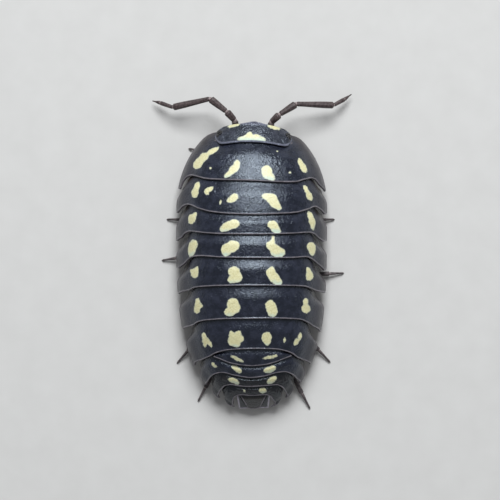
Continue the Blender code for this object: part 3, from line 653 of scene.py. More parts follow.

# %% [markdown]
# ## The spots
# The spots are this animal's signature, and no two are alike. Each is written as the few rounded lobes that
# it is made of, as seen from above: the lobe's middle in the photograph's pixels, its half length and half
# width, and how many degrees its long side is turned downwards from level. They are measured plate by
# plate.
# %% Lobes of the spots
SPOTS = {
    "head": {
        "rear patch": ((251, 139.2, 12.6, 2.9, 0), (249.6, 135.2, 3.2, 3.6, 0), (256, 136.8, 3.2, 3, 0),
                       (244, 138.2, 4.6, 2.2, -20), (260.6, 139, 4, 2, 20)),
        "left streak": ((231, 126.4, 3.4, 1.3, -18), (237, 124.7, 3.5, 1.3, -12)),
        "right streak": ((275.4, 128, 4.8, 1.5, 14), (270.5, 126.4, 2.4, 1.1, 14)),
    },
    "pereonite_1": {
        "left flank": ((212.4, 151.2, 7.6, 2.5, -29), (204, 156.8, 4.4, 3.9, -30),
                       (198.4, 163.2, 6.8, 4.3, -52)),
        "left middle": ((237, 164.4, 3.1, 4.9, 5), (233.6, 169.2, 4.9, 3.9, -40),
                        (228.4, 174.4, 5.2, 2.7, -36)),
        "right middle": ((266.6, 170.4, 5.3, 5.1, 0), (268, 175.4, 5.6, 3.9, 10),
                         (271.6, 178, 3.6, 2.4, 30)),
        "right flank": ((300.6, 162.8, 5, 2.5, 64), (303.8, 168.4, 4.6, 3.1, 60)),
        "dots": ((210.5, 168, 1.2, 1.1, 0), (277, 151.3, 0.9, 0.8, 0), (290, 172.5, 1.1, 0.9, 0)),
    },
    "pereonite_2": {
        "left flank": ((197.2, 186, 4.6, 2.7, 100), (194.9, 193, 5, 3.6, 95)),
        "left inner": ((210.4, 188.8, 3.3, 2.2, -22), (206.9, 192, 3.2, 2.5, 80)),
        "left middle": ((234.4, 196.9, 4.1, 3.5, 0), (231, 200, 4.3, 2.8, -12)),
        "left dot": ((220.6, 202, 2.3, 1.1, 100),),
        "right middle": ((266, 196.2, 4.6, 2.9, 0), (271.4, 198.4, 6.2, 5, 10),
                         (274.6, 203.8, 6.2, 4.1, 38),
                         (279, 207.6, 2.8, 2.3, 50)),
        "right flank": ((305.6, 188.6, 3.8, 2.2, 66), (309.4, 196, 5.2, 3, 64)),
    },
    "pereonite_3": {
        "left flank": ((195.1, 214.4, 2.6, 1.6, 100), (191.9, 218.3, 4.4, 3.9, 90),
                       (190.9, 221.9, 2.4, 2.2, 0)),
        "left middle": ((233.6, 224, 6.2, 4.6, -10), (227, 226.6, 6.2, 4.5, -26),
                        (221.9, 229.2, 2.5, 1.9, -60)),
        "right middle": ((272.6, 224.8, 5.3, 4.3, 10), (275.6, 229.4, 4.4, 4, 20), (278, 231, 2.4, 2, 0)),
        "right flank": ((310, 215.4, 4.4, 2.6, 70), (312.1, 221.4, 4.7, 3.3, 80),
                        (312.6, 226.9, 3.3, 1.7, 85)),
    },
    "pereonite_4": {
        "left flank": ((192.2, 247.8, 7.6, 4.1, 98), (195.8, 242.8, 2.9, 1.6, 80),
                       (190.4, 254, 2.3, 1.5, 80)),
        "left middle": ((232.2, 246.4, 6.6, 6, -20), (226.4, 249, 5.4, 5.2, 0), (225.9, 254, 3.2, 2.4, 0),
                        (236, 245.2, 3.2, 3, 0)),
        "right middle": ((273, 239.4, 4.6, 1.8, 92), (270.5, 245, 4.4, 4, 0), (275.2, 249.4, 6.9, 5, 34),
                         (281, 252.4, 4.3, 4.1, 0), (276.4, 254.4, 5, 2.3, 0)),
        "right flank": ((310.9, 246, 4.2, 3.9, 0), (312.3, 250, 4.4, 3.5, 80),
                        (311.8, 253.6, 2.2, 1.5, 80)),
    },
    "pereonite_5": {
        "left flank": ((194.5, 273.4, 4.7, 3.8, 90), (196.8, 269, 2.8, 1.5, 100),
                       (191.9, 270.6, 1.6, 1.3, 0)),
        "left middle": ((234, 271.5, 6, 5.2, 0), (236.5, 277, 5.9, 5.5, 0), (231.5, 279.6, 4.1, 3.5, 0)),
        "right middle": ((271, 273, 5.4, 4.7, 60), (274.6, 278, 5.6, 5.1, 40), (278.4, 281.8, 3.9, 3.3, 20),
                         (272, 268.8, 2, 1.8, 90)),
        "right flank": ((308.3, 270, 3, 2.2, 80), (309.6, 275, 4.1, 3.6, 90), (309.5, 278.4, 2.7, 2, 0)),
    },
    "pereonite_6": {
        "left flank": ((197.8, 302, 3.9, 2.6, 90), (197.3, 308, 4.7, 3.4, 95), (201.5, 305.6, 2, 1.5, 40),
                       (196.3, 311.6, 1.6, 1.5, 0)),
        "left middle": ((233, 304.4, 6.4, 6.1, 90), (235, 308.4, 5.3, 4.8, 0), (229.3, 312, 5.2, 4.4, 0)),
        "right middle": ((270.5, 305.4, 5.4, 5.1, 80), (272.3, 311, 6.2, 5.3, 78)),
        "right flank": ((305.5, 301.5, 3.4, 2.8, 90), (306, 308.6, 4.7, 4.4, 60)),
    },
    "pereonite_7": {
        "left flank": ((203.8, 335.6, 3.1, 2.3, 80), (205.6, 340.4, 3.3, 3, 80), (204.8, 344.4, 3, 1.5, 80),
                       (209.8, 343.4, 4, 1.9, 58)),
        "left middle": ((231.4, 333.2, 2.7, 2.3, 60), (238.5, 333.4, 3.1, 2.7, 90),
                        (235.5, 338.5, 7.4, 5, 0),
                        (240.4, 338.6, 3.3, 3, 0), (231.6, 342.6, 3.6, 3.1, 0), (236.6, 344.4, 3.6, 3, 0)),
        "right middle": ((266.7, 337.6, 5.8, 5.1, 90), (267.4, 342.6, 3, 2.5, 90)),
        "right dot": ((284.5, 340, 2.5, 1.4, 95),),
        "right flank": ((300.2, 336, 4.1, 1.8, 100), (296.2, 341.8, 3.9, 2.5, 115)),
    },
    "pleonite_2": {
        "left": ((234, 357.4, 3.3, 1.3, 26), (238, 359.3, 3.3, 1.3, 24), (241, 360.8, 1.9, 0.8, 20)),
        "right": ((265.6, 358.2, 3.3, 1, -15), (269.6, 357.1, 2.6, 1.5, -15), (275.2, 356, 2.2, 1.3, -20)),
    },
    "pleonite_3": {
        "left": ((234.5, 367.4, 3.4, 2.1, 22), (238.4, 370.4, 3.7, 2.5, 44)),
        "right": ((269, 370, 5.3, 3.2, -10), (272.6, 367.4, 2.8, 2.1, 0)),
        "left flank": ((213.3, 364.5, 2.5, 1.7, 60), (215.9, 366.6, 1.3, 0.9, 50)),
    },
    "pleonite_4": {
        "left": ((232.3, 380, 4.4, 2.6, 10), (236.6, 382.6, 3, 1.9, 24)),
        "right": ((270.5, 381.2, 4.1, 2.5, -22), (273.6, 378.5, 3.2, 2.3, -20)),
    },
    "pleonite_5": {
        "left": ((244.4, 390.9, 2.4, 1, 50),),
        "right": ((262.8, 390.4, 3.8, 3, 0),),
    },
}


# %% [markdown]
# The spots are then asked for one number at each point of a plate: how far inside a spot it lies.
# %% How far inside a spot
MELT = 0.16


def inside_spots(name, points):
    """How far inside a spot each point lies, in millimetres. Lobes melt together where they touch."""
    x, y = seen_at(points)
    deepest = np.full(x.shape, -1.0)
    for lobes in SPOTS.get(name, {}).values():
        for middle_x, middle_y, half_long, half_wide, turn in lobes:
            cosine = math.cos(math.radians(turn))
            sine = math.sin(math.radians(turn))
            along = (x - middle_x) * cosine + (y - middle_y) * sine
            beside = (y - middle_y) * cosine - (x - middle_x) * sine
            reach = np.sqrt((along / half_long) ** 2 + (beside / half_wide) ** 2)
            depth = (1.0 - reach) * min(half_long, half_wide) / PIXELS_PER_MM
            near = np.maximum(0.0, 1.0 - np.abs(depth - deepest) / MELT)
            deepest = np.maximum(deepest, depth) + 0.25 * MELT * near * near
    return deepest


print("spots:", sum(len(spots) for spots in SPOTS.values()))

# %% [markdown]
# ## A plate of the back
# A real plate is a shell about a quarter of a millimetre thick, thinner towards its free edge, where it
# rolls over into a bead. Its front part slides under the plate before it. A Solidify modifier gives the
# smooth sheet its wall, and only then is the outer face dressed with relief, because relief made first
# would be copied to the inside and tangle there. The relief is the bead with a faint groove beside it, the
# wavy marks where muscles are fixed, and a light unevenness.
# %% Plate measures
EDGE_WALL = 0.09 * MM
SHELL_WALL = 0.22 * MM
HIDDEN = 0.38 * MM
TUCK = 0.16 * MM
BEAD = 0.034 * MM
BEAD_WIDTH = 0.036 * MM
MARK_DEPTH = 0.030 * MM
ROLL = 0.05 * MM
CORNER_ROUNDING = 0.26 * MM
CORNER_ANGLE = 5.5
COLUMN_SPACING = 0.052 * MM
ROW_SPACING = 0.042 * MM
WALL_GROWTH = 0.5 * MM
# Over this length behind the rim of the plate before, the painted shade fades out.
FOLD_SHADE_LENGTH = 0.13 * MM
WRINKLE_SIZE = np.array([0.075, 0.26, 0.16])


def spread(count, power=1.3):
    """Shares from -1 to 1 that crowd together towards both ends."""
    t = np.linspace(-1.0, 1.0, count)
    return np.sign(t) * (1.0 - (1.0 - np.abs(t)) ** power)


def edge_distance(points, border):
    """The distance of every point to a line of border points, in metres."""
    finer = [border[:-1] + (border[1:] - border[:-1]) * share for share in (0.0, 0.25, 0.5, 0.75)]
    line = np.concatenate(finer + [border[-1:]])
    tree = kdtree.KDTree(len(line))
    for i, point in enumerate(line):
        tree.insert(point, i)
    tree.balance()
    flat = points.reshape(-1, 3)
    return np.array([tree.find(point)[2] for point in flat]).reshape(points.shape[:-1])


def bead(distance):
    """The rolled edge: how far it stands above the plate, by distance from the edge."""
    over = np.clip((ROLL - distance) / ROLL, 0.0, 1.0)
    rounded = ROLL * (1.0 - np.sqrt(np.maximum(0.0, 1.0 - over**2)))
    groove = 0.006 * MM * hump(distance, 0.15 * MM, 0.05 * MM)
    return BEAD * hump(distance, BEAD_MIDDLE, BEAD_WIDTH) - groove - 0.8 * rounded


def dress(piece, outer, heights):
    """Moves the first vertices of a piece, those of its outer face, along their normals."""
    points = read(piece)
    normals = read(piece, "normal")
    points[:outer] += normals[:outer] * heights[:, None]
    write(piece, points)


# %% [markdown]
# The sheet's columns run round the arch and its rows along the body, both closer together towards the free
# edges, where the bead needs them.
# %% Making a plate
def plate_sheet(name, rear_line, front_line, tuck_line, end=90.0):
    """The smooth sheet of one plate, from the left end of its arch to the right.

    The rear and front lines give places along the body for an angle. The tuck line gives the depth there.
    """
    arc = (half_width(ENDS[name] + 0.5 * MM) + back_height(ENDS[name] + 0.5 * MM)) * 1.5 * end / 90.0
    columns = int(arc / COLUMN_SPACING)
    angle = end * spread(columns)
    curl = np.clip((np.abs(angle) - (90.0 - CORNER_ANGLE)) / CORNER_ANGLE, 0.0, 1.0)
    rounding = CORNER_ROUNDING * (1.0 - np.sqrt(np.maximum(0.0, 1.0 - curl**2)))
    rear = rear_line(angle) + rounding
    front = front_line(angle) - rounding
    rows = int(np.max(front - rear) / ROW_SPACING)
    share = 1.0 - (1.0 - np.linspace(0.0, 1.0, rows)) ** 1.3
    share = 1.0 - share[::-1]
    y = rear[None, :] + (front - rear)[None, :] * share[:, None]
    return y, angle, placed(arch(y, angle[None, :], tuck_line(y, angle)))


def tuck_under(shown, rise):
    """How deep a plate lies, by the length that shows behind the edge of the plate in front."""
    dipping = TUCK + 0.5 * np.maximum(0.0, -shown)
    return np.where(shown < 0.0, dipping, TUCK * (1.0 - smooth(shown / rise)) ** 1.2)


def muscle_marks(y, angle, front, rear):
    """Where the wavy marks lie: two patches either side of the ridge, halfway down the plate."""
    along = (front - y) / np.maximum(front - rear, 0.1 * MM)
    side = np.abs(angle)[None, :]
    patch = hump(side, 33.0, 13.0) * hump(along, 0.42, 0.24)
    return np.where(along > 0.0, patch, 0.0)


# %% [markdown]
# The finished sheet carries a value at each vertex for the shell's finish to read: the distance to the free
# edge, the flank, the muscle marks, the spots, the brownish corners, and the painted shade in the fold under
# the plate before. The wall is thin at the free edge and grows to its full thickness half a millimetre
# inside.
# %% Finishing a plate
def finished_plate(name, angle, points, shown, free_edge, marks, corner_tint, finish=slate):
    """A sheet with its wall, its relief and its painted values."""
    margin = edge_distance(points, free_edge)
    side = np.abs(angle)[None, :]
    piece = wrapped_grid(
        name + "_shell",
        points,
        margin=margin / MM,
        flank=rise_from(side, 47.0, 34.0) * 0.9,
        marks=marks,
        spot=np.clip(inside_spots(name, points), -0.4, 0.4),
        corner=corner_tint,
        # Painted shade under the rim of the plate before, strongest where the plate just comes out.
        fold=1.0 - smooth(shown / FOLD_SHADE_LENGTH),
        thin=rise_from(side, 72.0, 16.0),
        wall=np.clip(margin / WALL_GROWTH, 0.0, 1.0),
    )
    outer = len(piece.data.vertices)
    wall = piece.vertex_groups.new(name="wall")
    for i, value in enumerate(painted(piece, "wall")):
        wall.add([i], float(value), "REPLACE")
    coloured(piece, finish, horn)
    applied(
        piece,
        "SOLIDIFY",
        thickness=SHELL_WALL,
        offset=-1.0,
        vertex_group="wall",
        thickness_vertex_group=EDGE_WALL / SHELL_WALL,
        material_offset=1,
        use_rim=True,
    )
    base = read(piece)[:outer]
    depth = painted(piece, "margin")[:outer] * MM
    inner_share = rise_from(depth, 0.1 * MM, 0.15 * MM)
    wrinkle = np.array([noise.noise(Vector(p)) for p in base / WRINKLE_SIZE / MM])
    ridges = (1.0 - 2.2 * np.abs(wrinkle)) * painted(piece, "marks")[:outer]
    uneven = rough(base, 0.35 * MM, 2.0) * 0.006 * MM + rough(base, 0.12 * MM, 5.0) * 0.0035 * MM
    dress(piece, outer, bead(depth) + (ridges * MARK_DEPTH + uneven) * inner_share)
    return piece


# %% [markdown]
# The plates of the trunk are all made the same way. Where a plate comes out from under the one before it,
# its sides are drawn in, by so many millimetres, so that the outline of the body is scalloped.
# %% The plates of the trunk
INSETS = {
    "pereonite_2": 0.12, "pereonite_3": 0.16, "pereonite_4": 0.30, "pereonite_5": 0.32, "pereonite_6": 0.46,
    "pereonite_7": 0.46, "pleonite_3": 0.22, "pleonite_4": 0.17, "pleonite_5": 0.15,
}


def ordinary_plate(name, *before, end=90.0):
    """A plate that starts under the one before it, and whose sides are drawn in where they come out."""

    def rear_line(angle):
        own = rear_edge(name, angle)
        if name != "pleonite_2":
            return own
        least = 0.25 * MM * smooth((40.0 - np.abs(angle)) / 6.0)
        return np.minimum(own, rear_edge("pereonite_7", angle) - least)

    def cover_edge(angle):
        return np.min([rear_edge(plate, angle) for plate in before], axis=0)

    def front_line(angle):
        return cover_edge(angle) + HIDDEN

    def tuck_line(y, angle):
        edge = cover_edge(angle)
        shown = edge[None, :] - y
        length = np.maximum(edge - rear_line(angle), 0.3 * MM)[None, :]
        side = rise_from(np.abs(angle)[None, :], 54.0, 24.0)
        drawn_in = 1.0 - smooth(shown / np.minimum(0.85 * length, 0.95 * MM))
        return tuck_under(shown, 0.5 * length) + INSETS.get(name, 0.0) * MM * side * drawn_in

    y, angle, points = plate_sheet(name, rear_line, front_line, tuck_line, end)
    edge = cover_edge(angle)
    shown = edge[None, :] - y
    free_edge = np.concatenate([points[::-1, 0], points[0, :], points[:, -1]])
    marks = muscle_marks(y, angle, edge[None, :], rear_line(angle)[None, :])
    near_fold = 1.0 - rise_from(shown, 0.10 * MM, 0.25 * MM)
    tint = rise_from(np.abs(angle)[None, :], 58.0, 12.0) * near_fold
    finish = tail_shell if name in ("pleonite_4", "pleonite_5") else slate
    piece = finished_plate(name, angle, points, shown, free_edge, marks, 0.75 * tint, finish)
    return settled(piece, "plates", name)


for number in range(2, 8):
    ordinary_plate(f"pereonite_{number}", f"pereonite_{number - 1}")

# %% [markdown]
# ## The first plate
# The plate behind the head holds it like a collar. In its middle it slides under the head's rear edge, and
# at both sides a lobe reaches forwards beside the head, thin and brownish. What shows is therefore measured
# from the head's outline, which is a rounded bar seen from above.
# %% First plate
LOBE_FROM = 49.0
LOBE_TO = 61.0
LOBE_REACH = 1.12 * MM
HEAD_CORNER = 0.35 * MM


def outside_head(x, y):
    """The distance outside the head's outline seen from above, negative where the head lies over it."""
    across = np.abs(x) - HEAD_HALF + HEAD_CORNER
    behind = head_rear(x) - y + HEAD_CORNER
    corner = np.sqrt(np.maximum(across, 0.0) ** 2 + np.maximum(behind, 0.0) ** 2)
    return corner - HEAD_CORNER + np.minimum(np.maximum(across, behind), 0.0)


def first_plate():
    name = "pereonite_1"

    def lobe(angle):
        return smooth((np.abs(angle) - LOBE_FROM) / (LOBE_TO - LOBE_FROM))

    def front_line(angle):
        edge = head_rear(half_width(ENDS["head"]) * np.sin(np.radians(angle)))
        tip = 0.35 * MM * np.clip((np.abs(angle) - 72.0) / 18.0, 0.0, 1.0) ** 2
        return edge + mix(HIDDEN, LOBE_REACH, lobe(angle)) - tip

    def tuck_line(y, angle):
        x = half_width(y) * np.sin(np.radians(angle))[None, :]
        return tuck_under(outside_head(x, y), 0.9 * MM)

    y, angle, points = plate_sheet(name, lambda a: rear_edge(name, a), front_line, tuck_line)
    left = points[-1, angle < -LOBE_FROM]
    right = points[-1, angle > LOBE_FROM]
    free_edge = np.concatenate([left[::-1], points[::-1, 0], points[0, :], points[:, -1], right[::-1]])
    x = half_width(y) * np.sin(np.radians(angle))[None, :]
    shown = outside_head(x, y)
    along = (head_rear(x) - y) / (2.4 * MM)
    side = np.abs(angle)[None, :]
    marks = hump(side, 27.0, 12.0) * hump(along, 0.38, 0.2) * (along > 0.0)
    tint = 0.12 * rise_from(side, 55.0, 15.0) * rise_from(y, 6.4 * MM, 1.4 * MM)
    piece = finished_plate(name, angle, points, shown, free_edge, marks, tint)
    return settled(piece, "plates", name)


first_plate()

# %% [markdown]
# ## The tail's plates
# The first abdominal plate that shows is a narrow lens between the seventh plate of the trunk and the next,
# and the three behind it curl round the tail like nested collars.
# %% Abdominal plates
LENS_END = 39.0
ordinary_plate("pleonite_2", "pereonite_7", end=LENS_END)
ordinary_plate("pleonite_3", "pleonite_2", "pereonite_7")
ordinary_plate("pleonite_4", "pleonite_3")
ordinary_plate("pleonite_5", "pleonite_4")

# %% [markdown]
# ## The end of the tail
# The last plate, the telson, is a small trapezium with a rounded tip. On each side of it shows the outer
# branch of a tail foot, a triangle with a thick, almost white rim. Both lie on the slope of the tail's end,
# which is nearly flat from side to side.
# %% Telson and tail feet
TELSON_TOP_HALF = 0.89 * MM
TELSON_TIP_HALF = 0.37 * MM
TAIL_CROWN = 0.14 / MM
TAIL_ROWS = 60
TAIL_COLUMNS = 80


def tail_point(x, y, depth):
    z = back_height(y) - TAIL_CROWN * x * x - depth * slant(back_height, y)
    return np.stack(np.broadcast_arrays(x, y, z), axis=-1)


def tail_sheet(outline, depth):
    """A small plate. The outline gives its left and right side for a share of the way back."""
    left, right, y = outline(np.linspace(0.0, 1.0, TAIL_ROWS)[::-1])
    across = 0.5 + 0.5 * spread(TAIL_COLUMNS)
    x = mix(left[:, None], right[:, None], across[None, :])
    along = np.broadcast_to(y[:, None], x.shape)
    points = placed(tail_point(x, along, depth(x, along)))
    free_edge = np.concatenate([points[::-1, 0], points[0, :], points[:, -1]])
    return along, points, free_edge


def telson():
    front = ENDS["pleonite_5"] + 0.3 * MM
    rear = ENDS["telson"]

    def outline(share):
        y = mix(front, rear, share)
        straight = (ENDS["pleonite_5"] - y) / (ENDS["pleonite_5"] - rear)
        half = mix(TELSON_TOP_HALF, TELSON_TIP_HALF, np.clip(straight, -0.3, 1.0))
        tip = np.clip((share - 0.9) / 0.1, 0.0, 1.0)
        half = half * np.sqrt(np.maximum(0.02, 1.0 - tip**2))
        return -half, half, y

    def depth(x, y):
        return tuck_under(ENDS["pleonite_5"] - y, 0.35 * MM)

    y, points, free_edge = tail_sheet(outline, depth)
    angle = np.zeros(TAIL_COLUMNS)
    shown = ENDS["pleonite_5"] - y
    piece = finished_plate("telson", angle, points, shown, free_edge, 0.0, 0.25, tail_shell)
    return settled(piece, "plates", "telson")


def tail_foot(side, sign):
    front = ENDS["pleonite_5"] - 0.1 * MM
    rear = ENDS["telson"] + 0.02 * MM

    def outline(share):
        y = mix(front, rear, share)
        inner = mix(0.90, 0.40, share) * MM
        outer = mix(1.07, 0.95, share) * MM
        left, right = (inner, outer) if sign > 0 else (-outer, -inner)
        return left, right, y

    name = f"uropod_{side}"
    y, points, free_edge = tail_sheet(outline, lambda x, y: 0.12 * MM)
    angle = np.zeros(TAIL_COLUMNS)
    rim = np.concatenate([points[::-1, -1 if sign > 0 else 0], points[0, :]])
    shown = np.full_like(y, MM)
    piece = finished_plate(name, angle, points, shown, rim, 0.0, 0.0, tail_foot_shell)
    return settled(piece, "plates", name)


telson()
tail_foot("left", -1.0)
tail_foot("right", 1.0)

# %% [markdown]
# ## The head
# Seen from above the head is a bar with rounded ends, set in the collar of the first plate. Its front edge
# carries the frontal shield, a low ridge that rises to a point in the middle, and behind that point lies
# a small dark pit. Below the edge the face falls straight down to the mouth. The head is wrapped from one
# grid: the rows run round its section, over the crown, down the face and back under the chin, and the
# columns run from side to side.
# %% Head section
HEAD_CORNER_POWER = 13.0
CHIN_HEIGHT = 1.15 * MM
FACE_BACK = (0.0, 0.02, 0.17, 0.19, 0.34)
FACE_SHARE = (0.10, 0.24, 0.38, 0.75, 1.0)
CROWN_SHARE = (0.0, 0.12, 0.35, 0.65, 0.88, 0.97)


def flowing(controls, steps):
    """A smooth closed curve through the control points, which lie along the first axis."""
    before = np.roll(controls, 1, axis=0)
    after = np.roll(controls, -1, axis=0)
    beyond = np.roll(controls, -2, axis=0)
    curve = []
    for t in np.arange(steps) / steps:
        pulled = 2.0 * controls + (after - before) * t
        pulled += (2.0 * before - 5.0 * controls + 4.0 * after - beyond) * t**2
        pulled += (-before + 3.0 * controls - 3.0 * after + beyond) * t**3
        curve.append(0.5 * pulled)
    stacked = np.stack(curve, axis=1).reshape(-1, *controls.shape[1:])
    return np.concatenate([stacked, stacked[:1]])


def head_controls(x):
    """The control points of the sections at the places across, as controls[point, place, xyz]."""
    end = np.clip(np.abs(x) / HEAD_HALF, 0.0, 1.0)
    full = np.sqrt(1.0 - end**HEAD_CORNER_POWER)
    middle = 0.5 * (head_rear(x) + brow(x))
    rear = middle + (head_rear(x) - middle) * full
    front = middle + (brow(x) - middle) * full
    side_low = cover(HEAD_HALF, EYE_ALONG)[2] - 0.42 * MM
    chin = mix(CHIN_HEIGHT, side_low, rise_from(np.abs(x), 1.40 * MM, 0.55 * MM))
    crown = [cover(x, mix(rear, front, share)) for share in CROWN_SHARE]
    centre = 0.5 * (crown[2][:, 2] + side_low)
    edge = crown[-1][:, 2]
    deep = edge - chin
    room = np.minimum(1.0, (front - rear) / (1.2 * MM)) * MM
    points = list(crown)
    for back, share in zip(FACE_BACK, FACE_SHARE):
        points.append(np.stack([x, front - back * room, edge - share * deep], axis=-1))
    neck = np.maximum(crown[0][:, 2] - 0.72 * MM, chin + 0.3 * deep)
    points.append(np.stack([x, rear + 0.50 * room, chin], axis=-1))
    points.append(np.stack([x, rear + 0.64 * room, neck], axis=-1))
    points.append(np.stack([x, rear + 0.04 * MM, crown[0][:, 2] - 0.13 * MM], axis=-1))
    points = np.stack(points)
    settle = mix(1.0, full, rise_from(end, 0.8, 0.2))
    points[:, :, 2] = centre + (points[:, :, 2] - centre) * settle
    return points


HEAD_COLUMNS = 190
HEAD_STEPS = 13
head_x = HEAD_HALF * np.sin(0.5 * math.pi * np.linspace(-1.0, 1.0, HEAD_COLUMNS))
straight_head = flowing(head_controls(head_x), HEAD_STEPS)
crown_rows = HEAD_STEPS * len(CROWN_SHARE)
print("head sections:", straight_head.shape)


# %% [markdown]
# The relief of the head is laid on as heights along its own normals: the thick rolled edge behind, the
# shield's crest with the pit, the swellings that carry the eyes, and the scattered dimples of the crown.
# %% Head relief and finish
def make_head():
    x = straight_head[..., 0]
    y = straight_head[..., 1]
    row = np.arange(straight_head.shape[0])[:, None]
    on_top = np.where(row <= crown_rows, 1.0, 0.0) * np.ones_like(x)
    from_rear = np.where(on_top > 0.0, y - head_rear(x), 1.0 * MM)
    from_brow = brow(x) - y
    points = placed(straight_head)
    spot = np.where(on_top > 0.0, inside_spots("head", points), -0.4)
    behind = np.where(on_top > 0.0, edge_distance(points, points[0]), 1.0 * MM)
    shield = np.clip(1.0 - np.abs(x) / (0.9 * MM), 0.0, 1.0)
    crest_margin = np.where((on_top > 0.0) & (shield > 0.0), from_brow / (0.35 + 1.4 * shield), 1.0 * MM)
    piece = wrapped_grid(
        "head_skin",
        points,
        margin=np.clip(np.minimum(behind, np.abs(crest_margin)), 0.0, 1.0 * MM) / MM,
        behind=behind / MM,
        flank=0.25 * (1.0 - on_top),
        marks=0.0,
        spot=np.clip(spot, -0.4, 0.4),
        corner=0.0,
        top=on_top,
        rear=from_rear / MM,
        brow=from_brow / MM,
        across=x / MM,
    )
    sealed(piece)
    top = painted(piece, "top")
    rear = painted(piece, "rear")
    front = painted(piece, "brow")
    across = painted(piece, "across")
    base = read(piece)
    rolled = 0.045 * hump(painted(piece, "behind"), 0.07, 0.055) * top
    crest = 0.07 * hump(front, 0.05, 0.05) * hump(across, 0.0, 0.75) * top
    pit = -0.05 * hump(front, 0.30, 0.08) * hump(across, 0.0, 0.14) * top
    edge = 0.03 * hump(front, 0.04, 0.04) * hump(np.abs(across), 1.35, 0.5) * top
    eye_mound = 0.10 * hump(np.abs(across), 2.13, 0.3) * hump(rear, 0.55, 0.33) * top
    dimples = 0.014 * rough(base, 0.16 * MM, 4.0) + 0.010 * rough(base, 0.07 * MM, 9.0)
    dress(piece, len(base), (rolled + crest + pit + edge + eye_mound + dimples) * MM)
    return settled(coloured(piece, head_slate), "head", "head")


make_head()

# %% [markdown]
# ## The eyes
# A pill woodlouse has compound eyes: about two dozen separate round lenses, packed on a low mound at each
# side of the head. Each lens is modelled as a small dome.
# %% Eyes
lens_black, tree, shader, where = new_material("eye lens")
glaze = speckle(tree, where, 0.05, 2.0, 0.5)
tree.links.new(blend(tree, glaze, (0.004, 0.004, 0.005), (0.012, 0.010, 0.010)), shader.inputs["Base Color"])
shader.inputs["Roughness"].default_value = 0.12
shader.inputs["Coat Weight"].default_value = 0.5


def ball(name, size, place, rows=17, columns=24, power=2.0, turn=(0.0, 0.0, 0.0)):
    """A closed rounded form. Power 2 is an ellipsoid, and more makes it boxy."""
    tall = np.radians(np.linspace(-90.0, 90.0, rows))[:, None]
    round_about = np.radians(np.linspace(0.0, 360.0, columns + 1))[None, :]
    unit = np.stack(
        np.broadcast_arrays(
            np.cos(tall) * np.cos(round_about), np.cos(tall) * np.sin(round_about), np.sin(tall)
        ),
        axis=-1,
    )
    unit /= (np.abs(unit) ** power).sum(axis=-1, keepdims=True) ** (1.0 / power)
    spin = np.array(Euler([math.radians(a) for a in turn]).to_matrix())
    shaped = (unit * np.array(size)) @ spin.T
    return sealed(wrapped_grid(name, shaped + np.array(place)))


EYE_HALF = np.array([0.20, 0.27, 0.19]) * MM
LENS_RADIUS = 0.052 * MM
LENS_RINGS = ((0, 1), (26, 6), (50, 10), (73, 9))
EYE_TILT = 38.0


def make_eye(side, sign):
    place = placed(cover(sign * EYE_ACROSS, EYE_ALONG, EYE_SINK))
    parts = [ball("eye", EYE_HALF, place)]
    outward = Euler((0.0, math.radians(sign * EYE_TILT), 0.0)).to_matrix()
    for slope, count in LENS_RINGS:
        for k in range(count):
            turn = 2.0 * math.pi * (k + 0.5 * (slope % 4)) / count
            down = math.radians(slope)
            aim = Vector((math.sin(down) * math.cos(turn), math.sin(down) * math.sin(turn), math.cos(down)))
            aim = outward @ aim
            seat = place + np.array(aim) * EYE_HALF * 0.93
            parts.append(ball("lens", [LENS_RADIUS] * 3, seat, 7, 10))
    return settled(coloured(joined(f"{side}_eye", parts), lens_black), "eyes", f"eye_{side}")


make_eye("left", -1.0)
make_eye("right", 1.0)

# %% [markdown]
# ## Tubes for feelers and legs
# A feeler or a leg of a woodlouse is a row of stiff articles with soft joints between. Each article is thin
# where it begins and thickest shortly before its end, like a club. One function follows a route, one gives
# each article its closed ends, and the joints are small pale balls that the ends bury.
# %% Articles of a limb
def smooth_route(points, count):
    """A smooth curve through points, with places evenly spread along it."""
    points = np.asarray(points, float)
    extended = np.concatenate([[2 * points[0] - points[1]], points, [2 * points[-1] - points[-2]]])
    curve = []
    for a, b, c, d in zip(extended, extended[1:], extended[2:], extended[3:]):
        for t in np.linspace(0.0, 1.0, 24, endpoint=False):
            bent = (2 * a - 5 * b + 4 * c - d) * t**2 + (3 * b - a - 3 * c + d) * t**3
            curve.append(0.5 * (2 * b + (c - a) * t + bent))
    curve = np.array(curve + [points[-1]])
    run = np.concatenate([[0.0], np.cumsum(np.linalg.norm(np.diff(curve, axis=0), axis=1))])
    wanted = np.linspace(0.0, run[-1], count)
    return np.stack([np.interp(wanted, run, curve[:, k]) for k in range(3)], axis=-1)


def tube(name, centres, radii, sides, flutes=0, flute_depth=0.0):
    """A closed tube along the centres."""
    ahead = np.gradient(centres, axis=0)
    ahead /= np.linalg.norm(ahead, axis=1, keepdims=True)
    side = np.cross(ahead, [0.0, 0.0, 1.0])
    side /= np.maximum(np.linalg.norm(side, axis=1, keepdims=True), 1e-9)
    up = np.cross(side, ahead)
    turn = np.linspace(0.0, 2.0 * math.pi, sides + 1)[None, :, None]
    wide = radii[:, None, None] * (1.0 + flute_depth * np.cos(flutes * turn))
    ring = wide * (np.cos(turn) * side[:, None, :] + np.sin(turn) * up[:, None, :])
    return sealed(wrapped_grid(name, centres[:, None, :] + ring))


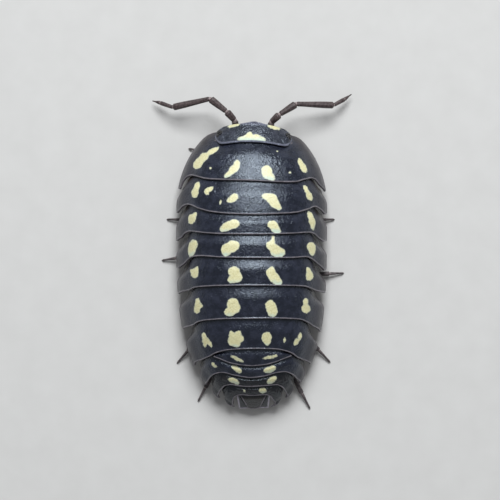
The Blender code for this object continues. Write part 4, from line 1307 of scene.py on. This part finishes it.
def article(name, route, start_radius, end_radius, swell_at, sides, flutes=0, flute_depth=0.0):
    """One stiff article of a limb, with rounded ends."""
    run = np.concatenate([[0.0], np.cumsum(np.linalg.norm(np.diff(route, axis=0), axis=1))])
    length = run[-1]
    cap = min(0.5 * end_radius, 0.3 * length)
    quarter = np.linspace(0.0, 0.5 * math.pi, 6)
    along = np.concatenate([
        cap * (1.0 - np.cos(quarter)),
        np.linspace(cap, length - cap, max(6, int(length / (0.05 * MM))))[1:-1],
        length - cap * (1.0 - np.cos(quarter[::-1])),
    ])
    share = along / length
    radii = mix(start_radius, end_radius, smooth(share / swell_at))
    first = np.sin(np.arccos(np.clip(1.0 - along / cap, 0.0, 1.0)))
    last = np.sin(np.arccos(np.clip(1.0 - (length - along) / cap, 0.0, 1.0)))
    radii = np.maximum(radii * first * last, 0.00005 * MM)
    centres = np.stack([np.interp(along, run, route[:, k]) for k in range(3)], axis=-1)
    return tube(name, centres, radii, sides, flutes, flute_depth)


FEELER_DARK = (0.034, 0.022, 0.022)
FEELER_LIGHT = (0.095, 0.068, 0.066)
antenna_brown = plain_material("feeler shell", FEELER_DARK, FEELER_LIGHT, 0.12, 0.42, 0.05, 0.012)
joint_skin = plain_material("joint skin", (0.22, 0.17, 0.165), (0.34, 0.27, 0.26), 0.1, 0.5, 0.05, 0.006)
leg_grey = plain_material("leg shell", (0.040, 0.032, 0.034), (0.105, 0.085, 0.085), 0.25, 0.45, 0.05, 0.010)

# %% [markdown]
# ## The feelers
# The large second pair of feelers is bent like an elbow: it leaves the head forwards, turns out, and runs
# back down to the ground. The four strong articles are ribbed lengthwise, and the last two, the lash, are
# slender and end in a fine point.
# %% Feelers
FEELER_JOINTS = {
    "left": ((-0.98, 8.72, 1.45), (-1.06, 9.14, 1.62), (-1.57, 9.68, 1.86), (-2.60, 10.48, 1.86),
             (-4.94, 9.98, 1.05), (-5.76, 10.28, 0.66), (-6.26, 10.42, 0.42)),
    "right": ((1.20, 8.70, 1.45), (1.24, 9.02, 1.60), (1.76, 9.50, 1.86), (2.80, 10.16, 1.86),
              (5.18, 10.12, 1.05), (5.86, 10.50, 0.66), (6.32, 10.84, 0.42)),
}
FEELER_RADII = ((0.19, 0.21), (0.19, 0.225), (0.165, 0.225), (0.15, 0.21), (0.115, 0.13), (0.115, 0.035))
JOINT_GAP = 0.008 * MM
RIBS = 9
RIB_DEPTH = 0.035


def make_feeler(side):
    joints = np.array(FEELER_JOINTS[side]) * MM + MOVED
    parts = []
    for k, (start, end) in enumerate(zip(joints, joints[1:])):
        thin, thick = np.array(FEELER_RADII[k]) * MM
        gap = JOINT_GAP * (end - start) / np.linalg.norm(end - start)
        route = np.linspace(start + gap, end - gap, 12)
        shaft = article("feeler", route, thin, thick, 0.85, 45, RIBS if k < 4 else 0, RIB_DEPTH)
        parts.append(coloured(shaft, antenna_brown))
    for k in range(1, len(joints) - 1):
        knot = ball("joint", [FEELER_RADII[k][0] * 0.82 * MM] * 3, joints[k])
        parts.append(coloured(knot, joint_skin))
    return settled(joined(f"{side}_feeler", parts), "antennae", f"antenna_{side}")


make_feeler("left")
make_feeler("right")

# %% [markdown]
# ## The face
# From the front, the face has its own small parts: the frontal shield that stands up behind the brow, the
# soft sockets that the feelers turn in, a pair of tiny inner feelers between them, the upper lip, the dark
# jaws below it, and the two flat covers that close the mouth from underneath. They are rounded forms set
# into the head, each placed across and along the body as seen on the species.
# %% Face
belly_skin = plain_material("belly shell", (0.16, 0.13, 0.12), (0.30, 0.26, 0.235), 0.3, 0.42, 0.05, 0.010)
shield_grey = plain_material("shield crest", (0.10, 0.10, 0.125), (0.21, 0.20, 0.235), 0.12, 0.4, 0.04, 0.008)
jaw_dark = plain_material("jaw", (0.010, 0.007, 0.006), (0.040, 0.022, 0.014), 0.08, 0.3, 0.03, 0.006)
face_horn = plain_material("face shell", (0.045, 0.040, 0.044), (0.13, 0.115, 0.115), 0.15, 0.4, 0.05, 0.010)
BOTH_SIDES = (-1.0, 1.0)
INNER_FEELER = ((0.40, 8.70, 1.66), (0.44, 8.79, 1.60), (0.47, 8.86, 1.52), (0.49, 8.91, 1.44))
INNER_FEELER_RADII = (0.060, 0.050, 0.038)
SHIELD_HALF = 0.86 * MM


def face_part(size, place, finish, power=2.4, turn=(0.0, 0.0, 0.0)):
    """A rounded form of the face. Size and place are in millimetres on the straight body."""
    seat = placed(np.array(place) * MM)
    return coloured(ball("face_part", np.array(size) * MM, seat, 21, 36, power, turn), finish)


def make_face():
    parts = [face_part((0.46, 0.13, 0.20), (0.0, 8.62, 1.36), face_horn)]
    parts.append(face_part((0.40, 0.10, 0.07), (0.0, 8.64, 1.17), joint_skin))
    for sign in BOTH_SIDES:
        lean = (0.0, sign * 20.0, 0.0)
        parts.append(face_part((0.20, 0.15, 0.16), (sign * 0.27, 8.52, 1.10), jaw_dark, 2.0, lean))
        parts.append(face_part((0.30, 0.16, 0.18), (sign * 0.66, 8.50, 1.22), face_horn))
        parts.append(face_part((0.36, 0.40, 0.07), (sign * 0.37, 8.06, 1.09), belly_skin, 3.2))
        parts.append(face_part((0.09, 0.12, 0.05), (sign * 0.30, 8.42, 1.03), face_horn, 2.0))
        parts.append(face_part((0.30, 0.10, 0.27), (sign * 1.09, 8.72, 1.47), face_horn))
        parts.append(face_part((0.235, 0.12, 0.215), (sign * 1.09, 8.77, 1.47), joint_skin))
        steps = placed(np.array([(sign * x, y, z) for x, y, z in INNER_FEELER]) * MM)
        for start, end, radius in zip(steps, steps[1:], INNER_FEELER_RADII):
            route = np.linspace(start, end, 6)
            bit = article("inner_feeler", route, radius * MM, 0.9 * radius * MM, 0.8, 16)
            parts.append(coloured(bit, antenna_brown))
    return settled(joined("mouthparts", parts), "head")


def make_shield():
    """A low crest along the brow, highest in the middle, with rounded ends."""
    across = np.linspace(-1.0, 1.0, 61)
    x = SHIELD_HALF * across
    foot = cover(x, brow(x) - 0.02 * MM)
    full = np.sqrt(np.maximum(0.0, 1.0 - across**8))
    rise = (0.03 + 0.13 * (1.0 - np.abs(across)) ** 1.1) * MM * full
    around = np.linspace(0.0, 2.0 * math.pi, 17)[:, None]
    thick = 0.035 * MM * full
    y = foot[None, :, 1] + thick[None, :] * np.cos(around)
    z = foot[None, :, 2] - 0.06 * MM + (rise[None, :] + 0.02 * MM) * np.sin(around)
    points = np.stack([np.broadcast_to(x[None, :], y.shape), y, z], axis=-1)
    piece = sealed(wrapped_grid("frontal_shield", placed(points)))
    return settled(coloured(piece, shield_grey), "head")


make_face()
make_shield()

# %% [markdown]
# ## The legs
# Seven pairs of legs fold in under the belly from the hip, turn at the knee, and come out again below the
# edge of the shell. From above only the last articles show, standing on the ground around the body.
# %% Legs
FEET = {
    "left": (
        (-3.90, 7.40), (-4.20, 4.90), (-5.27, 2.94), (-5.58, 0.36),
        (-4.40, -1.45), (-4.66, -6.10), (-3.35, -8.50),
    ),
    "right": (
        (3.95, 6.80), (4.30, 4.50), (5.17, 2.94), (4.45, 0.55),
        (5.76, -0.46), (4.93, -6.05), (3.67, -8.97),
    ),
}
HIP_ACROSS = (2.25, 2.55, 2.70, 2.75, 2.70, 2.60, 2.30)
KNEE_TILT = 32.0
KNEE_RADIUS = 0.32 * MM
SHIN_SHARES = (0.0, 0.28, 0.54, 0.80, 1.0)
SHIN_HEIGHTS = (0.66, 0.58, 0.47, 0.33, 0.12)


def leg_route(number, sign, foot):
    """The points of a leg's middle line, and which of them are its joints."""
    before = "head" if number == 1 else f"pereonite_{number - 1}"
    along = 0.5 * (ENDS[before] + ENDS[f"pereonite_{number}"])
    middle = lie([sign * HIP_ACROSS[number - 1] * MM, along, 0.0])
    fore = 1.0 if foot[1] < middle[1] else -1.0
    out = np.array([sign, 0.0, 0.0])
    hip = middle + np.array([0.0, fore * 0.34, 1.37]) * MM
    knee = middle - 1.15 * MM * out + np.array([0.0, 0.0, 0.90]) * MM
    tilt = math.radians(KNEE_TILT)
    turn = np.array([0.0, fore * math.cos(tilt), math.sin(tilt)])
    thigh = np.array([hip[0], hip[1], 1.12 * MM])
    start = knee - KNEE_RADIUS * turn + 0.1 * MM * out
    around = [math.radians(angle) for angle in (70.0, 35.0, 0.0, -35.0, -70.0)]
    bend = [knee + KNEE_RADIUS * (math.sin(a) * turn - math.cos(a) * out) for a in around]
    upper = [hip, thigh - 0.38 * MM * out] + bend
    joints = []
    for share, level in zip(SHIN_SHARES, SHIN_HEIGHTS):
        joint = mix(start, foot, share)
        joint[2] = level * MM
        joints.append(joint)
    return np.array(upper), np.array(joints)


LEG_RADII = (
    (0.17, 0.19), (0.15, 0.18), (0.14, 0.18), (0.14, 0.18), (0.13, 0.17), (0.11, 0.145), (0.095, 0.06),
)


def make_leg(side, number, sign, foot):
    foot = np.array([foot[0] * MM, foot[1] * MM, 0.0])
    upper, joints = leg_route(number, sign, foot)
    whole = smooth_route(np.concatenate([upper, joints[:1]]), 60) + MOVED
    joints = joints + MOVED
    cuts = (whole[:28], whole[27:44], whole[43:])
    routes = list(cuts) + [np.linspace(a, b, 8) for a, b in zip(joints, joints[1:])]
    parts = []
    for route, (thin, thick) in zip(routes, LEG_RADII):
        parts.append(coloured(article("leg", route, thin * MM, thick * MM, 0.8, 20), leg_grey))
    for route, (thin, _) in list(zip(routes, LEG_RADII))[1:]:
        parts.append(coloured(ball("joint", [0.9 * thin * MM] * 3, route[0], 9, 14), joint_skin))
    tip = joints[-1]
    forward = joints[-1] - joints[-2]
    forward[2] = 0.0
    forward /= np.linalg.norm(forward)
    end = tip + forward * 0.10 * MM
    end[2] = MOVED[2] + 0.012 * MM
    claw = article("claw", np.linspace(tip, end, 6), 0.05 * MM, 0.012 * MM, 1.0, 12)
    parts.append(coloured(claw, antenna_brown))
    return settled(joined(f"{side}_leg_{number}", parts), "legs", f"leg_{side}_{number}")


for side, sign in (("left", -1.0), ("right", 1.0)):
    for number, foot in enumerate(FEET[side], start=1):
        make_leg(side, number, sign, foot)

# %% [markdown]
# ## The underside
# Turned over, the trunk shows a pale plate under each pair of legs, rolled at both edges, and the tail shows
# five pairs of gill covers that overlap like tiles. The first two pairs hold the white air sacs that pill
# woodlice breathe with. Each plate is a rounded, flattened form laid across the belly.
# %% Underside
air_sac = plain_material("air sacs", (0.66, 0.65, 0.60), (0.80, 0.79, 0.75), 0.12, 0.5, 0.04, 0.010)
BELLY_SINK = 0.10 * MM


def belly_plate(middle, half, length):
    """A cross plate: a flattened form, bent along the arch of the belly."""
    plate = ball("sternite", [half, 0.5 * length, 0.13 * MM], (0.0, 0.0, 0.0), 21, 44, 4.0)
    points = read(plate)
    points[:, 2] += 0.12 * MM * (points[:, 0] / half) ** 2
    points[:, 1] += 0.18 * length * (points[:, 0] / half) ** 2
    write(plate, points + middle)
    return coloured(plate, belly_skin)


def underside(name, count):
    low, high = (np.array(corner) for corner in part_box(name))
    midline = 0.5 * (low[0] + high[0])
    core_half = (high - low) * np.array([0.42, 0.42, 0.24])
    core_middle = 0.5 * (low + high)
    core_middle[2] = low[2] + BELLY_SINK + core_half[2]
    parts = [coloured(ball("core", core_half, core_middle, 33, 64, 2.6), belly_skin)]
    step = (high[1] - low[1]) / count
    for k in range(count):
        y = high[1] - step * (k + 0.5)
        taper = 1.0 - 0.30 * abs((k + 0.5) / count - 0.5) ** 2 * 4.0
        if name == "thorax_underside":
            half = 0.44 * (high[0] - low[0]) * taper
            parts.append(belly_plate(np.array([midline, y, low[2] + BELLY_SINK]), half, 0.92 * step))
            continue
        narrow = 1.0 - 0.5 * (k / count)
        for sign in BOTH_SIDES:
            half = 0.20 * (high[0] - low[0]) * narrow
            middle = np.array([midline + sign * 1.08 * half, y, low[2] + 0.12 * MM])
            lean = (-9.0, sign * 6.0, 0.0)
            gill = ball("gill", [half, 0.62 * step, 0.10 * MM], middle, 17, 32, 3.0, lean)
            parts.append(coloured(gill, belly_skin))
            if k < 2:
                seat = middle + np.array([sign * 0.35 * half, -0.1 * step, -0.075 * MM])
                sac = ball("sac", [0.42 * half, 0.30 * step, 0.06 * MM], seat, 13, 24, 2.5)
                parts.append(coloured(sac, air_sac))
    return settled(joined(name.replace("underside", "belly"), parts), "underside", name)


underside("thorax_underside", 7)
underside("abdomen_underside", 5)

# %% [markdown]
# ## Floor and light
# A pale floor, and one large soft light in front of the animal and high above it. Each plate's front part
# tips forwards, where it dips under the plate before, and there it mirrors the light: this gives the row of
# bluish sheens along the middle of the back. The surroundings are dim, so that the slate stays dark. The
# picture is shown without a film curve, because the spots' clean yellow would turn grey in one.
# %% Floor and lights
bpy.ops.object.select_all(action="DESELECT")
bpy.ops.mesh.primitive_plane_add(size=0.9, location=(0.0, 0.0, 0.0))
floor = bpy.context.object
floor.name = "floor"
paper, tree, shader, where = new_material("floor")
fibre = speckle(tree, where, 1.5, 2.0, 0.5)
tree.links.new(blend(tree, fibre, (0.60, 0.585, 0.56), (0.66, 0.645, 0.62)), shader.inputs["Base Color"])
shader.inputs["Roughness"].default_value = 0.9
coloured(floor, paper)
LIGHT_PLACE = Vector((0.012, 0.165, 0.205))
LIGHT_SIZE = 0.13
LIGHT_POWER = 0.82
bpy.ops.object.light_add(type="AREA", location=LIGHT_PLACE)
light = bpy.context.object
light.name = "key"
light.data.shape = "SQUARE"
light.data.size = LIGHT_SIZE
light.data.energy = LIGHT_POWER
light.data.color = (0.93, 0.965, 1.0)
aim = Vector((0.0, 0.0, 2.0 * MM)) - LIGHT_PLACE
light.rotation_euler = aim.to_track_quat("-Z", "Y").to_euler()

# %% [markdown]
# Around them is one even, dim sky.
# %% Surroundings
world = bpy.data.worlds.new("studio")
bpy.context.scene.world = world
world.use_nodes = True
sky = world.node_tree.nodes["Background"]
sky.inputs["Color"].default_value = (0.92, 0.95, 1.0, 1.0)
sky.inputs["Strength"].default_value = 0.27
bpy.context.scene.view_settings.view_transform = "Standard"
